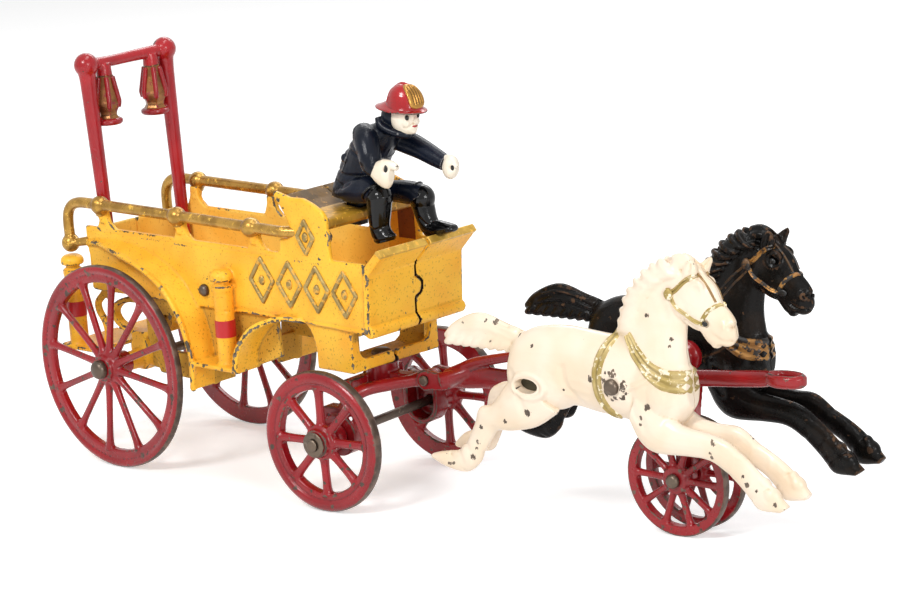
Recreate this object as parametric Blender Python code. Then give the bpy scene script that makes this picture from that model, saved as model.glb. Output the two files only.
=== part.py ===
"""Cast iron horse-drawn hose wagon, an old toy, built piece by piece.

All sizes are millimetres until mesh_object scales them to metres.
+X points forward to the horses, +Y to the wagon's left side, +Z up.
The wagon's own drawing starts on the ground under the rear axle.
The front truck's own drawing starts on the ground under the king pin.
"""
import math

import bmesh
import bpy
from mathutils import Matrix, Vector

MM = 0.001

# Where the bottom centre of the bounding box lies in the wagon's own drawing
ORIGIN_X = 136.5
ORIGIN_Y = 2.2

# Running gear
KING_PIN_X = 113.5
TRUCK_TURN_DEG = 5.3
GAP = 0.3
SEAM = 0.15
REAR_WHEEL_R = 40.2
FRONT_WHEEL_R = 26.5
POLE_WHEEL_R = 20.6
POLE_WHEEL_X = 135.3
REAR_AXLE_R = 1.9
FRONT_AXLE_R = 1.7
POLE_AXLE_R = 1.6
REAR_SPOKE_DEG = 21.6
FRONT_SPOKE_DEG = 1.2
POLE_SPOKE_DEG = 33.6
POST_X = (-9.5, 34.9, 75.8)

# Body
SIDE_Y = 24.8
SIDE_T = 2.2
INNER_WALL_Y = 22.8
INNER_WALL_T = 2.0
LIP_Y = 34.0
FLOOR_Z = 68.0
FLOOR_T = 1.6
TOP_Z = 92.0
BODY_BACK_X = -21.0
DASH_X = 133.8
RAIL_Y = 25.9
RAIL_R = 2.35
RAIL_BALL_R = 3.7
POST_OUT = 0.7
TIE_RIVET = (46.6, 73.4)
TIE_RIVET_R = 1.5

# Team of horses, in the truck's drawing
HORSE_Y = 23.9
HORSE_RIVET = (129.1, 59.8)
HORSE_RIVET_R = 1.5
HORSE_BOSS_Y = 8.8
POLE_PIN = (23.8, 44.2)
POLE_PIN_R = 1.3

# Driver
HEAD_X = 133.4
BRIM_Z = 144.9
BRIM_HALF = (11.2, 7.9)
CROWN_HALF = (7.2, 6.2)

# Bench
SEAT_TOP = [(89.4, 113.2), (100.6, 107.8), (112.6, 106.9), (114.4, 106.2)]
SEAT_LIP = (114.6, 103.4)
TANG_X = (103.2, 109.8)
TANG_HALF_Y = 2.4

YELLOW = ("yellow_enamel", (0.84, 0.47, 0.06), 0.38, 0.0)
RED = ("red_enamel", (0.46, 0.015, 0.02), 0.34, 0.0)
WHITE = ("white_enamel", (0.92, 0.84, 0.68), 0.4, 0.0)
BLACK = ("black_enamel", (0.012, 0.011, 0.011), 0.3, 0.0)
NAVY = ("navy_black_enamel", (0.008, 0.012, 0.022), 0.25, 0.0)
STEEL = ("dark_steel", (0.16, 0.13, 0.11), 0.45, 0.8)


def clear_scene():
    for obj in list(bpy.data.objects):
        bpy.data.objects.remove(obj, do_unlink=True)


def material(spec):
    name, colour, roughness, metallic = spec
    found = bpy.data.materials.get(name)
    if found:
        return found
    made = bpy.data.materials.new(name)
    made.use_nodes = True
    shader = made.node_tree.nodes["Principled BSDF"]
    shader.inputs["Base Color"].default_value = (*colour, 1.0)
    shader.inputs["Roughness"].default_value = roughness
    shader.inputs["Metallic"].default_value = metallic
    return made


def mesh_object(verts, faces, name="piece"):
    """A closed mesh from points in millimetres, with its faces turned outwards."""
    bm = bmesh.new()
    made = [bm.verts.new(Vector(v) * MM) for v in verts]
    for face in faces:
        bm.faces.new([made[i] for i in face])
    bmesh.ops.remove_doubles(bm, verts=bm.verts, dist=1e-7)
    bmesh.ops.connect_verts_nonplanar(bm, angle_limit=0.002, faces=bm.faces)
    bmesh.ops.recalc_face_normals(bm, faces=bm.faces)
    mesh = bpy.data.meshes.new(name)
    bm.to_mesh(mesh)
    bm.free()
    obj = bpy.data.objects.new(name, mesh)
    bpy.context.collection.objects.link(obj)
    return obj


def loft(rings):
    """Closed solid through rings of equal point counts, with flat ends."""
    count = len(rings[0])
    verts = [p for ring in rings for p in ring]
    faces = []
    for r in range(len(rings) - 1):
        low = r * count
        high = low + count
        for i in range(count):
            j = (i + 1) % count
            faces.append((low + i, low + j, high + j, high + i))
    faces.append(tuple(range(count))[::-1])
    last = (len(rings) - 1) * count
    faces.append(tuple(range(last, last + count)))
    return mesh_object(verts, faces)


def closed_loft(rings):
    """Solid whose last ring joins its first, as a ring or a hoop does."""
    count = len(rings[0])
    verts = [p for ring in rings for p in ring]
    faces = []
    for r in range(len(rings)):
        low = r * count
        high = ((r + 1) % len(rings)) * count
        for i in range(count):
            j = (i + 1) % count
            faces.append((low + i, low + j, high + j, high + i))
    return mesh_object(verts, faces)


def prism(outline, axis, low, high):
    """Outline pushed along an axis. Outline pairs are (x, z) for y, (x, y) for z and (y, z) for x."""
    def place(a, b, depth):
        if axis == "y":
            return (a, depth, b)
        if axis == "z":
            return (a, b, depth)
        return (depth, a, b)
    return loft([[place(a, b, low) for a, b in outline], [place(a, b, high) for a, b in outline]])


def box(x0, x1, y0, y1, z0, z1):
    return prism([(x0, z0), (x1, z0), (x1, z1), (x0, z1)], "y", y0, y1)


def arc(cx, cz, radius, start, end, steps):
    turn = [math.radians(start + (end - start) * i / steps) for i in range(steps + 1)]
    return [(cx + radius * math.cos(t), cz + radius * math.sin(t)) for t in turn]


def ring_on_y(cx, cz, radius, y, steps):
    return [(x, y, z) for x, z in arc(cx, cz, radius, 0, 360, steps)[:-1]]


def turned(profile, cx, cz, steps):
    """Solid of revolution round a line along Y. The profile holds (radius, y) from end to end."""
    rings = [ring_on_y(cx, cz, max(radius, 0.02), y, steps) for radius, y in profile]
    return loft(rings)


def hoop(profile, cx, cz, steps):
    """Ring of revolution round a line along Y. The profile is a closed loop of (radius, y)."""
    turn = [2 * math.pi * i / steps for i in range(steps)]
    rings = [[(cx + r * math.cos(t), y, cz + r * math.sin(t)) for r, y in profile] for t in turn]
    return closed_loft(rings)


def frame_along(points):
    """Two unit directions across the path at each of its points."""
    points = [Vector(p) for p in points]
    across = []
    side = None
    for i, point in enumerate(points):
        before = points[max(i - 1, 0)]
        after = points[min(i + 1, len(points) - 1)]
        along = (after - before).normalized()
        if side is None:
            side = along.orthogonal().normalized()
        side = (side - along * side.dot(along)).normalized()
        across.append((point, side, along.cross(side)))
    return across


def tube(points, radii, sides=8):
    if not hasattr(radii, "__len__"):
        radii = [radii] * len(points)
    rings = []
    for (point, a, b), radius in zip(frame_along(points), radii):
        ring = []
        for k in range(sides):
            t = 2 * math.pi * (k + 0.5) / sides
            ring.append(point + a * radius * math.cos(t) + b * radius * math.sin(t))
        rings.append(ring)
    return loft(rings)


def ball(centre, radii, segments=12, rings=8, tilt_deg=0.0):
    """Ellipsoid, tipped about the Y axis; a positive tilt drops its +X end."""
    if not hasattr(radii, "__len__"):
        radii = (radii, radii, radii)
    bm = bmesh.new()
    bmesh.ops.create_uvsphere(bm, u_segments=segments, v_segments=rings, radius=1.0)
    place = (
        Matrix.Translation(Vector(centre) * MM)
        @ Matrix.Rotation(math.radians(tilt_deg), 4, "Y")
        @ Matrix.Diagonal((*[r * MM for r in radii], 1.0))
    )
    bmesh.ops.transform(bm, matrix=place, verts=bm.verts)
    mesh = bpy.data.meshes.new("ball")
    bm.to_mesh(mesh)
    bm.free()
    obj = bpy.data.objects.new("ball", mesh)
    bpy.context.collection.objects.link(obj)
    return obj


def limb(sections, y, sides=10):
    """Loft of oval sections, each from its upper point, its lower point and its half width."""
    rings = []
    for section in sections:
        top_x, top_z, low_x, low_z, half = section[:5]
        at_y = y + (section[5] if len(section) > 5 else 0.0)
        ring = []
        for k in range(sides):
            t = 2 * math.pi * (k + 0.5) / sides
            mix = (1 + math.cos(t)) / 2
            ring.append((
                low_x + (top_x - low_x) * mix,
                at_y + half * math.sin(t),
                low_z + (top_z - low_z) * mix,
            ))
        rings.append(ring)
    return loft(rings)


def merge(base, others, operation):
    """Boolean of a base with several closed solids at once, written back as a plain mesh."""
    if not others:
        return base
    group = bpy.data.collections.new("operands")
    bpy.context.scene.collection.children.link(group)
    for obj in others:
        bpy.context.collection.objects.unlink(obj)
        group.objects.link(obj)
    modifier = base.modifiers.new(operation.title(), "BOOLEAN")
    modifier.operation = operation
    modifier.operand_type = "COLLECTION"
    modifier.collection = group
    modifier.solver = "EXACT"
    view = bpy.context.evaluated_depsgraph_get()
    result = bpy.data.meshes.new_from_object(base.evaluated_get(view))
    base.modifiers.remove(modifier)
    base.data = result
    for obj in others:
        bpy.data.objects.remove(obj, do_unlink=True)
    bpy.data.collections.remove(group)
    return base


def fuse(pieces, cuts=()):
    base = merge(pieces[0], list(pieces[1:]), "UNION")
    return merge(base, list(cuts), "DIFFERENCE")


def mirrored(obj):
    """The same solid on the other side of the XZ plane."""
    mesh = obj.data.copy()
    mesh.transform(Matrix.Diagonal((1.0, -1.0, 1.0, 1.0)))
    mesh.flip_normals()
    twin = bpy.data.objects.new("twin", mesh)
    bpy.context.collection.objects.link(twin)
    return twin


def moved(obj, x, y, z):
    obj.data.transform(Matrix.Translation(Vector((x, y, z)) * MM))
    return obj


def finish(obj, name, spec, parent, origin, smooth_deg=35.0):
    """Name the solid, put its origin on its own axis or seat, and give it its one material."""
    obj.name = name
    obj.data.name = name
    obj.data.transform(Matrix.Translation(-Vector(origin) * MM))
    obj.data.materials.clear()
    obj.data.materials.append(material(spec))
    obj.data.polygons.foreach_set("use_smooth", [True] * len(obj.data.polygons))
    obj.data.set_sharp_from_angle(angle=math.radians(smooth_deg))
    obj.parent = parent
    obj.location = Vector(origin) * MM
    return obj


def empty(name, parent, place_mm, turn_deg=0.0):
    obj = bpy.data.objects.new(name, None)
    bpy.context.collection.objects.link(obj)
    obj.parent = parent
    obj.location = Vector(place_mm) * MM
    obj.rotation_euler = (0.0, 0.0, math.radians(turn_deg))
    return obj


def spokes(cx, cz, count, inner, outer, hub_y, rim_y, hub_r, rim_r, first_deg, sides=6):
    made = []
    for i in range(count):
        turn = math.radians(first_deg + 360.0 * i / count)
        way = (math.cos(turn), math.sin(turn))
        start = (cx + inner * way[0], hub_y, cz + inner * way[1])
        end = (cx + outer * way[0], rim_y, cz + outer * way[1])
        made.append(tube([start, end], [hub_r, rim_r], sides))
    return made


def rear_wheel():
    """Right-hand wheel of twelve round spokes, its long hub standing out to the side."""
    z = REAR_WHEEL_R
    rim = hoop([
        (33.3, -34.2), (33.3, -37.1), (36.6, -37.1), (37.3, -37.7), (39.2, -37.7),
        (REAR_WHEEL_R, -36.6), (REAR_WHEEL_R, -34.2),
    ], 0, z, 32)
    hub = turned([(4.9, -28.0), (5.2, -33.0), (7.4, -35.2), (7.0, -37.6), (5.0, -40.8)], 0, z, 12)
    rods = spokes(0, z, 12, 4.0, 34.3, -36.8, -35.9, 1.6, 1.45, REAR_SPOKE_DEG, 5)
    bore = turned([(REAR_AXLE_R + GAP, -45), (REAR_AXLE_R + GAP, -20)], 0, z, 12)
    return fuse([rim, hub, *rods], [bore])


def front_wheel():
    """Right-hand wheel of eight stout spokes with a stepped rim."""
    z = FRONT_WHEEL_R
    rim = hoop([
        (19.5, -34.6), (19.5, -38.3), (21.7, -38.3), (22.3, -39.1), (25.2, -39.1),
        (FRONT_WHEEL_R, -37.8), (FRONT_WHEEL_R, -34.6),
    ], 0, z, 28)
    hub = turned([(5.0, -28.4), (5.4, -34.0), (6.6, -36.0), (6.6, -38.9), (5.1, -41.3)], 0, z, 12)
    rods = spokes(0, z, 8, 4.0, 20.4, -36.9, -36.7, 1.85, 1.75, FRONT_SPOKE_DEG)
    bore = turned([(FRONT_AXLE_R + GAP, -46), (FRONT_AXLE_R + GAP, -20)], 0, z, 12)
    return fuse([rim, hub, *rods], [bore])


def pole_wheel():
    """Right-hand small wheel of ten spokes with a flat rim."""
    x = POLE_WHEEL_X
    z = POLE_WHEEL_R
    rim = hoop([(16.7, -3.9), (16.7, -7.2), (POLE_WHEEL_R, -7.2), (POLE_WHEEL_R, -3.9)], x, z, 28)
    hub = turned([(4.4, -2.6), (5.4, -6.2), (4.8, -8.3)], x, z, 12)
    rods = spokes(x, z, 10, 3.6, 17.6, -6.1, -5.6, 1.45, 1.35, POLE_SPOKE_DEG, 5)
    bore = turned([(POLE_AXLE_R + GAP, -12), (POLE_AXLE_R + GAP, 2)], x, z, 12)
    return fuse([rim, hub, *rods], [bore])


def headed_axle(cx, cz, radius, head_y, head_r, head_t, sides=12, domed=True):
    """Round bar along Y with a head at each end, the heads starting at head_y."""
    end = head_y + head_t
    crown = head_r * (0.62 if domed else 0.86)
    half = [(radius, head_y), (head_r, head_y), (head_r, head_y + head_t * 0.4), (crown, end)]
    profile = [(r, -y) for r, y in reversed(half)] + half
    return turned(profile, cx, cz, sides)


def extinguisher(x, y, foot, barrel_top, top):
    """Standing fire extinguisher: barrel, short neck and mushroom cap."""
    def ring(radius, z):
        return [(x + radius * math.cos(t), y + radius * math.sin(t), z)
                for t in [2 * math.pi * i / 10 for i in range(10)]]
    return loft([
        ring(4.1, foot), ring(4.1, barrel_top), ring(3.0, barrel_top + 1.2), ring(3.0, top - 3.6),
        ring(4.4, top - 2.8), ring(4.2, top - 1.0), ring(2.4, top),
    ])


def ruled_band(inner, outer, thick, centre):
    """Curved plate between an inner and an outer edge, thickened towards a centre (x, z)."""
    rings = []
    for a, b in zip(inner, outer):
        ring = [a, b]
        for p in (b, a):
            way = Vector((centre[0] - p[0], 0.0, centre[1] - p[2])).normalized()
            ring.append(tuple(Vector(p) + way * thick))
        rings.append(ring)
    return loft(rings)


def side_panel():
    """Upper side of the body with the seat's scrolled end, seen from the side."""
    y0 = -SIDE_Y
    outline = [
        (BODY_BACK_X, TOP_Z), (BODY_BACK_X, 84.6), (-19.0, 79.0), (-18.6, 66.4),
        (50.0, 66.4), (96.5, 67.2), (99.0, 66.4), (131.4, 65.2), (DASH_X, 89.4),
        (132.2, 91.8), (115.4, 91.6), (115.0, 97.5), (116.3, 100.6), (114.6, 102.8),
        (114.9, 106.6), (112.6, 109.6), (108.0, 111.9), (103.0, 113.6), (96.0, 113.4), (88.6, 115.2),
        (87.6, 113.6), (90.8, 109.9), (93.6, 106.2), (95.2, 102.6), (95.2, 98.2),
        (89.6, 97.4), (89.0, 93.2), (87.8, TOP_Z),
    ]
    return prism(outline, "y", y0, y0 + SIDE_T)


def rear_fender():
    """Fender over the rear wheel: its lip leaves the side at the back and ends as a flat leg."""
    inner = [(-21.5, 86.4), (-12.0, 88.4), (4.6, 88.4), (19.6, 84.6), (32.5, 77.6), (40.5, 68.4), (45.4, 57.0), (46.6, 46.4), (45.4, 36.2)]
    outer = [(-21.5, 85.4), (-12.0, 86.6), (2.0, 84.8), (18.0, 81.0), (32.0, 74.0), (39.4, 64.4), (43.4, 54.4), (45.2, 46.4), (44.4, 35.8)]
    out_y = [-SIDE_Y - 0.2, -27.2, -30.4, -32.8, -LIP_Y, -LIP_Y, -LIP_Y, -LIP_Y, -LIP_Y]
    in_y = [-23.4] * 5 + [-23.0] + [-21.6] * 3
    rings_in = [(x, y, z) for (x, z), y in zip(inner, in_y)]
    rings_out = [(x, y, z) for (x, z), y in zip(outer, out_y)]
    return ruled_band(rings_in, rings_out, 1.8, (0.0, REAR_WHEEL_R))


def front_fender():
    """Fender behind the front wheel: it rises from the step and dies into the side."""
    lip = [(68.4, 45.6), (69.6, 52.6), (73.0, 58.2), (79.5, 64.2), (86.5, 67.6), (92.0, 68.4), (98.5, 67.6)]
    out_y = [-LIP_Y, -LIP_Y, -LIP_Y, -LIP_Y, -31.6, -28.4, -SIDE_Y - 0.2]
    inner = [(x, -21.6, z + 0.6) for x, z in lip]
    outer = [(x, y, z) for (x, z), y in zip(lip, out_y)]
    return ruled_band(inner, outer, 1.8, (KING_PIN_X, FRONT_WHEEL_R))


def lower_side():
    """Inner wall under the side, from the rear axle's web to the step and the front fender."""
    outline = [
        (14.0, 36.4), (45.2, 35.6), (46.6, 45.4), (69.0, 45.8), (83.4, 51.0), (82.6, 64.0),
        (84.0, 68.0), (84.0, 72.0), (8.0, 72.0), (8.0, 50.0),
    ]
    wall = prism(outline, "y", -INNER_WALL_Y, -INNER_WALL_Y + INNER_WALL_T)
    window = prism([(19, 46), (37, 46), (38, 60), (17, 60)], "y", -30, -15)
    return merge(wall, [window], "DIFFERENCE")


def front_column():
    """Lower front corner under the letter panel, with the plate that the king pin passes through."""
    y = -INNER_WALL_Y
    plate = prism([
        (98.6, 71.0), (101.9, 62.0), (103.0, 56.0), (102.8, 49.4), (121.6, 49.0), (121.3, 62.8), (122.4, 71.0),
    ], "y", y, y + INNER_WALL_T)
    corner = box(119.5, 121.5, y + 0.1, -16.6, 49.1, 67.2)
    floor = box(103.2, 121.3, y + 0.1, 0.6, 49.1, 51.0)
    rim = box(119.5, 121.4, y + 0.2, 0.6, 49.3, 53.4)
    king_bore = prism(arc(KING_PIN_X, 0, 2.0 + GAP, 0, 360, 14)[:-1], "z", 40, 60)
    return merge(merge(plate, [corner, floor, rim], "UNION"), [king_bore], "DIFFERENCE")


def leaf_spring():
    """Open elliptic spring over the rear axle, with the block that the axle runs in."""
    y = -18.2
    loop = [(15.0 * math.cos(t), y, 56.4 + 6.8 * math.sin(t)) for t in [2 * math.pi * i / 14 for i in range(14)]]
    rings = []
    for i, (x, _, z) in enumerate(loop):
        t = 2 * math.pi * i / 14
        way = Vector((math.cos(t) / 15.0, 0, math.sin(t) / 6.8)).normalized()
        ring = [Vector((x, y - 2.0, z)) - way * 1.1, Vector((x, y - 2.0, z)) + way * 1.1,
                Vector((x, y + 2.0, z)) + way * 1.1, Vector((x, y + 2.0, z)) - way * 1.1]
        rings.append(ring)
    spring = closed_loft(rings)
    clip = box(-3.0, 3.0, y - 2.4, y + 2.4, 62.2, 67.2)
    block = prism([(-5.0, 38.0), (-2.6, 35.6), (2.6, 35.6), (5.0, 38.0), (5.0, 45.0), (3.2, 50.6), (-3.2, 50.6), (-5.0, 45.0)],
                  "y", y - 2.6, y + 2.6)
    sleeve = turned([(3.7, -27.7), (3.9, -19.0)], 0, REAR_WHEEL_R, 12)
    arm = prism([(3.6, 38.0), (16.0, 37.0), (16.0, 42.0), (4.4, 43.6)], "y", y - 2.8, y + 0.6)
    wing = box(14.0, 18.5, -INNER_WALL_Y + 0.6, y + 0.4, 37.4, 41.6)
    bore = turned([(REAR_AXLE_R + GAP, -40), (REAR_AXLE_R + GAP, 0)], 0, REAR_WHEEL_R, 12)
    return merge(merge(spring, [clip, block, sleeve, arm, wing], "UNION"), [bore], "DIFFERENCE")


def rail():
    """Gilt side rail: a dropped end with a ball, and three balls over flared webs that stand on the side."""
    y = -RAIL_Y
    pieces = [tube([
        (-29.2, y, 84.8), (-29.6, y, 92.0), (-29.0, y, 96.6), (-26.8, y, 99.6), (-23.0, y, 101.3),
        (-16.0, y, 101.6), (40.0, y, 101.1), (95.6, y, 100.3),
    ], RAIL_R, 8)]
    for x, z in zip(POST_X, (101.4, 101.1, 100.6)):
        pieces.append(ball((x, y, z), RAIL_BALL_R, 8, 6))
        foot = [(-4.6, TOP_Z - 1.6), (-4.4, TOP_Z + 0.6), (-2.7, TOP_Z + 2.6), (-2.1, TOP_Z + 5.0), (-2.1, z - 0.6)]
        web = [(x + a, b) for a, b in foot] + [(x - a, b) for a, b in reversed(foot)]
        pieces.append(prism(web, "y", y - POST_OUT, -SIDE_Y + SIDE_T - 0.2))
    pieces.append(ball((-29.2, y, 84.6), 3.4, 8, 6))
    pieces.append(tube([(-28.0, y + 0.3, 84.6), (-19.6, -24.0, 86.0)], [1.6, 2.0], 6))
    return fuse(pieces)


def rear_step():
    """Step across the tail on a curved bracket."""
    plate = box(-36.4, -16.0, -29.6, 0.6, 41.8, 43.6)
    bracket = tube([
        (-16.5, -19.5, 67.4), (-19.6, -19.5, 63.6), (-23.4, -19.5, 60.0), (-23.2, -19.5, 56.4),
        (-20.4, -19.5, 52.4), (-19.2, -19.5, 48.0), (-20.6, -19.5, 42.7),
    ], [1.7, 1.6, 1.5, 1.5, 1.5, 1.6, 1.9], 6)
    return merge(plate, [bracket], "UNION")


def seat_half():
    """Half of the driver's bench with its slanted back and rolled front lip."""
    outline = [
        (87.6, 112.2), *SEAT_TOP, SEAT_LIP,
        (113.4, 102.2), (111.4, 102.6), (110.4, 104.4), (100.0, 105.2), (88.2, 110.8),
    ]
    return prism(outline, "y", -SIDE_Y + 0.6, 0.6)


def dash_half():
    """Half of the dash with its foot bead and the flared toe board."""
    panel = prism([(131.0, 65.6), (133.2, 65.6), (135.0, 90.4), (132.8, 90.4)], "y", -SIDE_Y + 0.1, 0.6)
    bead = tube([(133.0, -SIDE_Y + 0.05, 66.4), (133.0, 0.6, 66.4)], 2.5, 8)
    board = prism([(131.0, 89.0), (134.2, 87.2), (142.8, 95.8), (141.0, 98.0), (139.6, 97.4)], "y", -SIDE_Y - 0.4, 0.6)
    return merge(panel, [bead, board], "UNION")


def dash_tab(grow):
    """Rounded locating tab on the dash's seam; grow widens it into its notch."""
    z = 78.8
    half = 3.2 + grow
    reach = 3.4 + grow
    outline = [(-1.0, z - half), (reach - 1.6, z - half), (reach, z - half + 1.8), (reach, z + half - 1.8), (reach - 1.6, z + half), (-1.0, z + half)]
    lean = (z - 65.6) * 1.8 / 24.8
    return prism(outline, "x", 131.1 + lean - grow * 4, 133.3 + lean + grow * 4)


def body_half():
    """Right half of the wagon body as it was cast, without its tab or notch."""
    pieces = [
        side_panel(),
        box(BODY_BACK_X + 1.4, 131.6, -SIDE_Y + 0.5, 0.6, FLOOR_Z - FLOOR_T, FLOOR_Z),
        box(BODY_BACK_X + 0.4, BODY_BACK_X + 2.4, -SIDE_Y + 0.5, 0.6, FLOOR_Z - 1.2, 90.6),
        rear_fender(),
        front_fender(),
        lower_side(),
        box(43.6, 69.6, -LIP_Y, -20.9, 45.3, 47.1),
        box(43.0, 45.6, -33.9, -12.0, 36.2, 47.0),
        extinguisher(60.0, -28.4, 46.4, 77.6, 83.4),
        extinguisher(-30.6, -25.0, 42.8, 73.0, 79.6),
        front_column(),
        leaf_spring(),
        rail(),
        rear_step(),
        seat_half(),
        dash_half(),
    ]
    rivet_bore = turned([(TIE_RIVET_R + GAP, -40), (TIE_RIVET_R + GAP, 10)], TIE_RIVET[0], TIE_RIVET[1], 12)
    room = 2 * GAP
    tang_slot = box(TANG_X[0] - room, TANG_X[1] + room, -TANG_HALF_Y - room, TANG_HALF_Y + room, 100, 112)
    other_side = box(-60, 160, -SEAM, 40, 20, 130)
    return fuse(pieces, [rivet_bore, tang_slot, other_side])


def lamp_arch():
    """Red arch of two tapering posts, corner knobs and a cross bar, a lantern inside each post."""
    pieces = [tube([(-16.6, -20.3, 155.0), (-16.6, 20.3, 155.0)], 2.3, 8)]
    for side in (-1, 1):
        pieces.append(tube([(-12.4, side * 19.4, FLOOR_Z + GAP), (-16.6, side * 20.3, 154.0)], [2.3, 3.3], 8))
        pieces.append(ball((-16.6, side * 20.3, 155.2), 4.9, 10, 8))
        x = -15.4
        y = side * 13.4
        rings = []
        for radius, z in ((2.5, 152.6), (2.7, 149.6), (4.9, 139.4), (2.6, 134.6), (4.5, 132.4), (4.3, 130.4)):
            rings.append([(x + radius * math.cos(t), y + radius * math.sin(t), z)
                          for t in [2 * math.pi * (i + 0.5) / 8 for i in range(8)]])
        pieces.append(loft(rings))
        pieces.append(tube([(x - 0.4, y, 132.0), (x - 0.4, side * 19.6, 132.0)], 1.2, 6))
    return fuse(pieces)


def driver():
    """Leaning fireman driver in helmet, long coat and boots, with the tang that drops through the bench."""
    pieces = [
        limb([
            (99.0, 113.2, 101.0, 109.2, 5.0), (101.6, 119.0, 112.0, 108.6, 8.6), (104.6, 125.4, 121.0, 113.4, 8.6),
            (108.6, 131.0, 122.6, 121.0, 8.2), (112.0, 135.6, 125.4, 126.0, 9.4), (117.0, 138.6, 128.4, 130.0, 8.4),
            (121.0, 141.2, 130.0, 134.0, 5.2), (HEAD_X - 8.4, BRIM_Z - 1.3, HEAD_X + 0.2, BRIM_Z - 8.3, 4.4),
        ], 0.0, 10),
        ball((HEAD_X, 0, BRIM_Z - 3.4), (5.8, 4.9, 6.4), 12, 8, 10),
        ball((HEAD_X, 0, BRIM_Z), (BRIM_HALF[0], BRIM_HALF[1], 1.2), 16, 4, -6),
        ball((HEAD_X + 1.6, 0, BRIM_Z + 1.6), (CROWN_HALF[0], CROWN_HALF[1], 8.3), 14, 10),
        tube([(HEAD_X - 3.0, 0, BRIM_Z + 7.0), (HEAD_X + 2.4, 0, BRIM_Z + 9.6), (HEAD_X + 7.4, 0, BRIM_Z + 8.0),
              (HEAD_X + 9.0, 0, BRIM_Z + 2.4)], [0.9, 1.3, 2.2, 2.6], 6),
    ]
    pieces.append(tube([(118.6, -7.4, 134.0), (117.6, -10.2, 130.0), (120.6, -11.0, 126.0), (127.0, -10.0, 125.4)],
                       [4.6, 4.6, 4.4, 3.6], 8))
    pieces.append(limb([(125.6, 127.4, 123.4, 122.0, 2.6), (130.6, 128.2, 127.4, 118.4, 3.1),
                        (135.0, 127.2, 132.4, 116.8, 3.0), (137.8, 125.6, 136.6, 121.4, 2.2)], -9.6, 8))
    pieces.append(tube([(122.0, 6.0, 133.6), (129.0, 8.0, 130.6), (137.0, 8.6, 129.0), (146.8, 8.4, 124.8)], [5.0, 4.2, 3.8, 3.4], 8))
    pieces.append(ball((148.6, 8.4, 122.8), (3.5, 3.0, 4.6), 8, 6, 20))
    pieces.append(tube([(106.0, -5.4, 114.0), (116.0, -6.8, 114.4), (124.6, -7.6, 114.4), (126.6, -7.8, 111.6)], [5.2, 5.2, 4.8, 4.7], 8))
    pieces.append(tube([(126.2, -7.8, 113.4), (125.8, -8.0, 108.0), (126.0, -8.0, 99.4), (126.2, -8.0, 96.2)], [5.2, 4.6, 3.7, 3.9], 8))
    pieces.append(ball((128.4, -8.0, 97.8), (4.6, 3.1, 2.2), 8, 6, 8))
    pieces.append(tube([(106.0, 5.4, 112.6), (118.0, 7.0, 111.2), (129.6, 8.0, 111.4), (131.8, 8.0, 110.2)], [4.8, 4.2, 4.5, 4.4], 8))
    pieces.append(tube([(131.6, 8.0, 111.4), (133.0, 8.0, 106.4), (136.4, 8.2, 99.8)], [4.6, 4.0, 3.5], 8))
    pieces.append(ball((141.8, 8.4, 99.6), (6.2, 3.1, 2.5), 8, 6, -14))
    pieces.append(box(*TANG_X, -TANG_HALF_Y, TANG_HALF_Y, 99.6, 112.0))
    rein_near = turned([(0.9, -20), (0.9, 0)], 132.0, 123.6, 8)
    rein_far = turned([(0.8, 0), (0.8, 20)], 148.6, 122.8, 8)
    toe_board = prism([(128.0, 85.0), (133.8, 86.9), (143.1, 95.7), (141.0, 98.4), (139.3, 97.8), (130.6, 89.4)], "y", -30, 30)
    return fuse(pieces, [rein_near, rein_far, toe_board, *bench_cutters()])


def bench_cutters():
    """Space that the bench takes under the driver, on both sides of the tang, ahead of it and behind it."""
    behind_x = TANG_X[0] - GAP
    ahead_x = TANG_X[1] + GAP
    top = [(x, z + GAP) for x, z in SEAT_TOP[:3]] + [(SEAT_TOP[3][0] + GAP, SEAT_TOP[3][1] + GAP)]
    back = (SEAT_TOP[0][0] - 9.4, SEAT_TOP[0][1] + 4.0)
    low_z = SEAT_LIP[1] - 2.4
    lip = (SEAT_LIP[0] + GAP, low_z)
    slope = (top[2][1] - top[1][1]) / (top[2][0] - top[1][0])

    def level(x):
        return (x, top[1][1] + slope * (x - top[1][0]))

    under = [(ahead_x + GAP, low_z), (ahead_x + GAP, 90.0), (back[0], 90.0)]
    whole = [back, *top, lip, *under]
    ahead = [level(ahead_x), *top[2:], lip, (ahead_x, low_z)]
    behind = [back, *top[:2], level(behind_x), (behind_x, 90.0), (back[0], 90.0)]
    beside = TANG_HALF_Y + GAP
    return [
        prism(whole, "y", -30, -beside), prism(whole, "y", beside, 30),
        prism(ahead, "y", -beside - 0.3, beside + 0.3), prism(behind, "y", -beside - 0.3, beside + 0.3),
    ]


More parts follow.
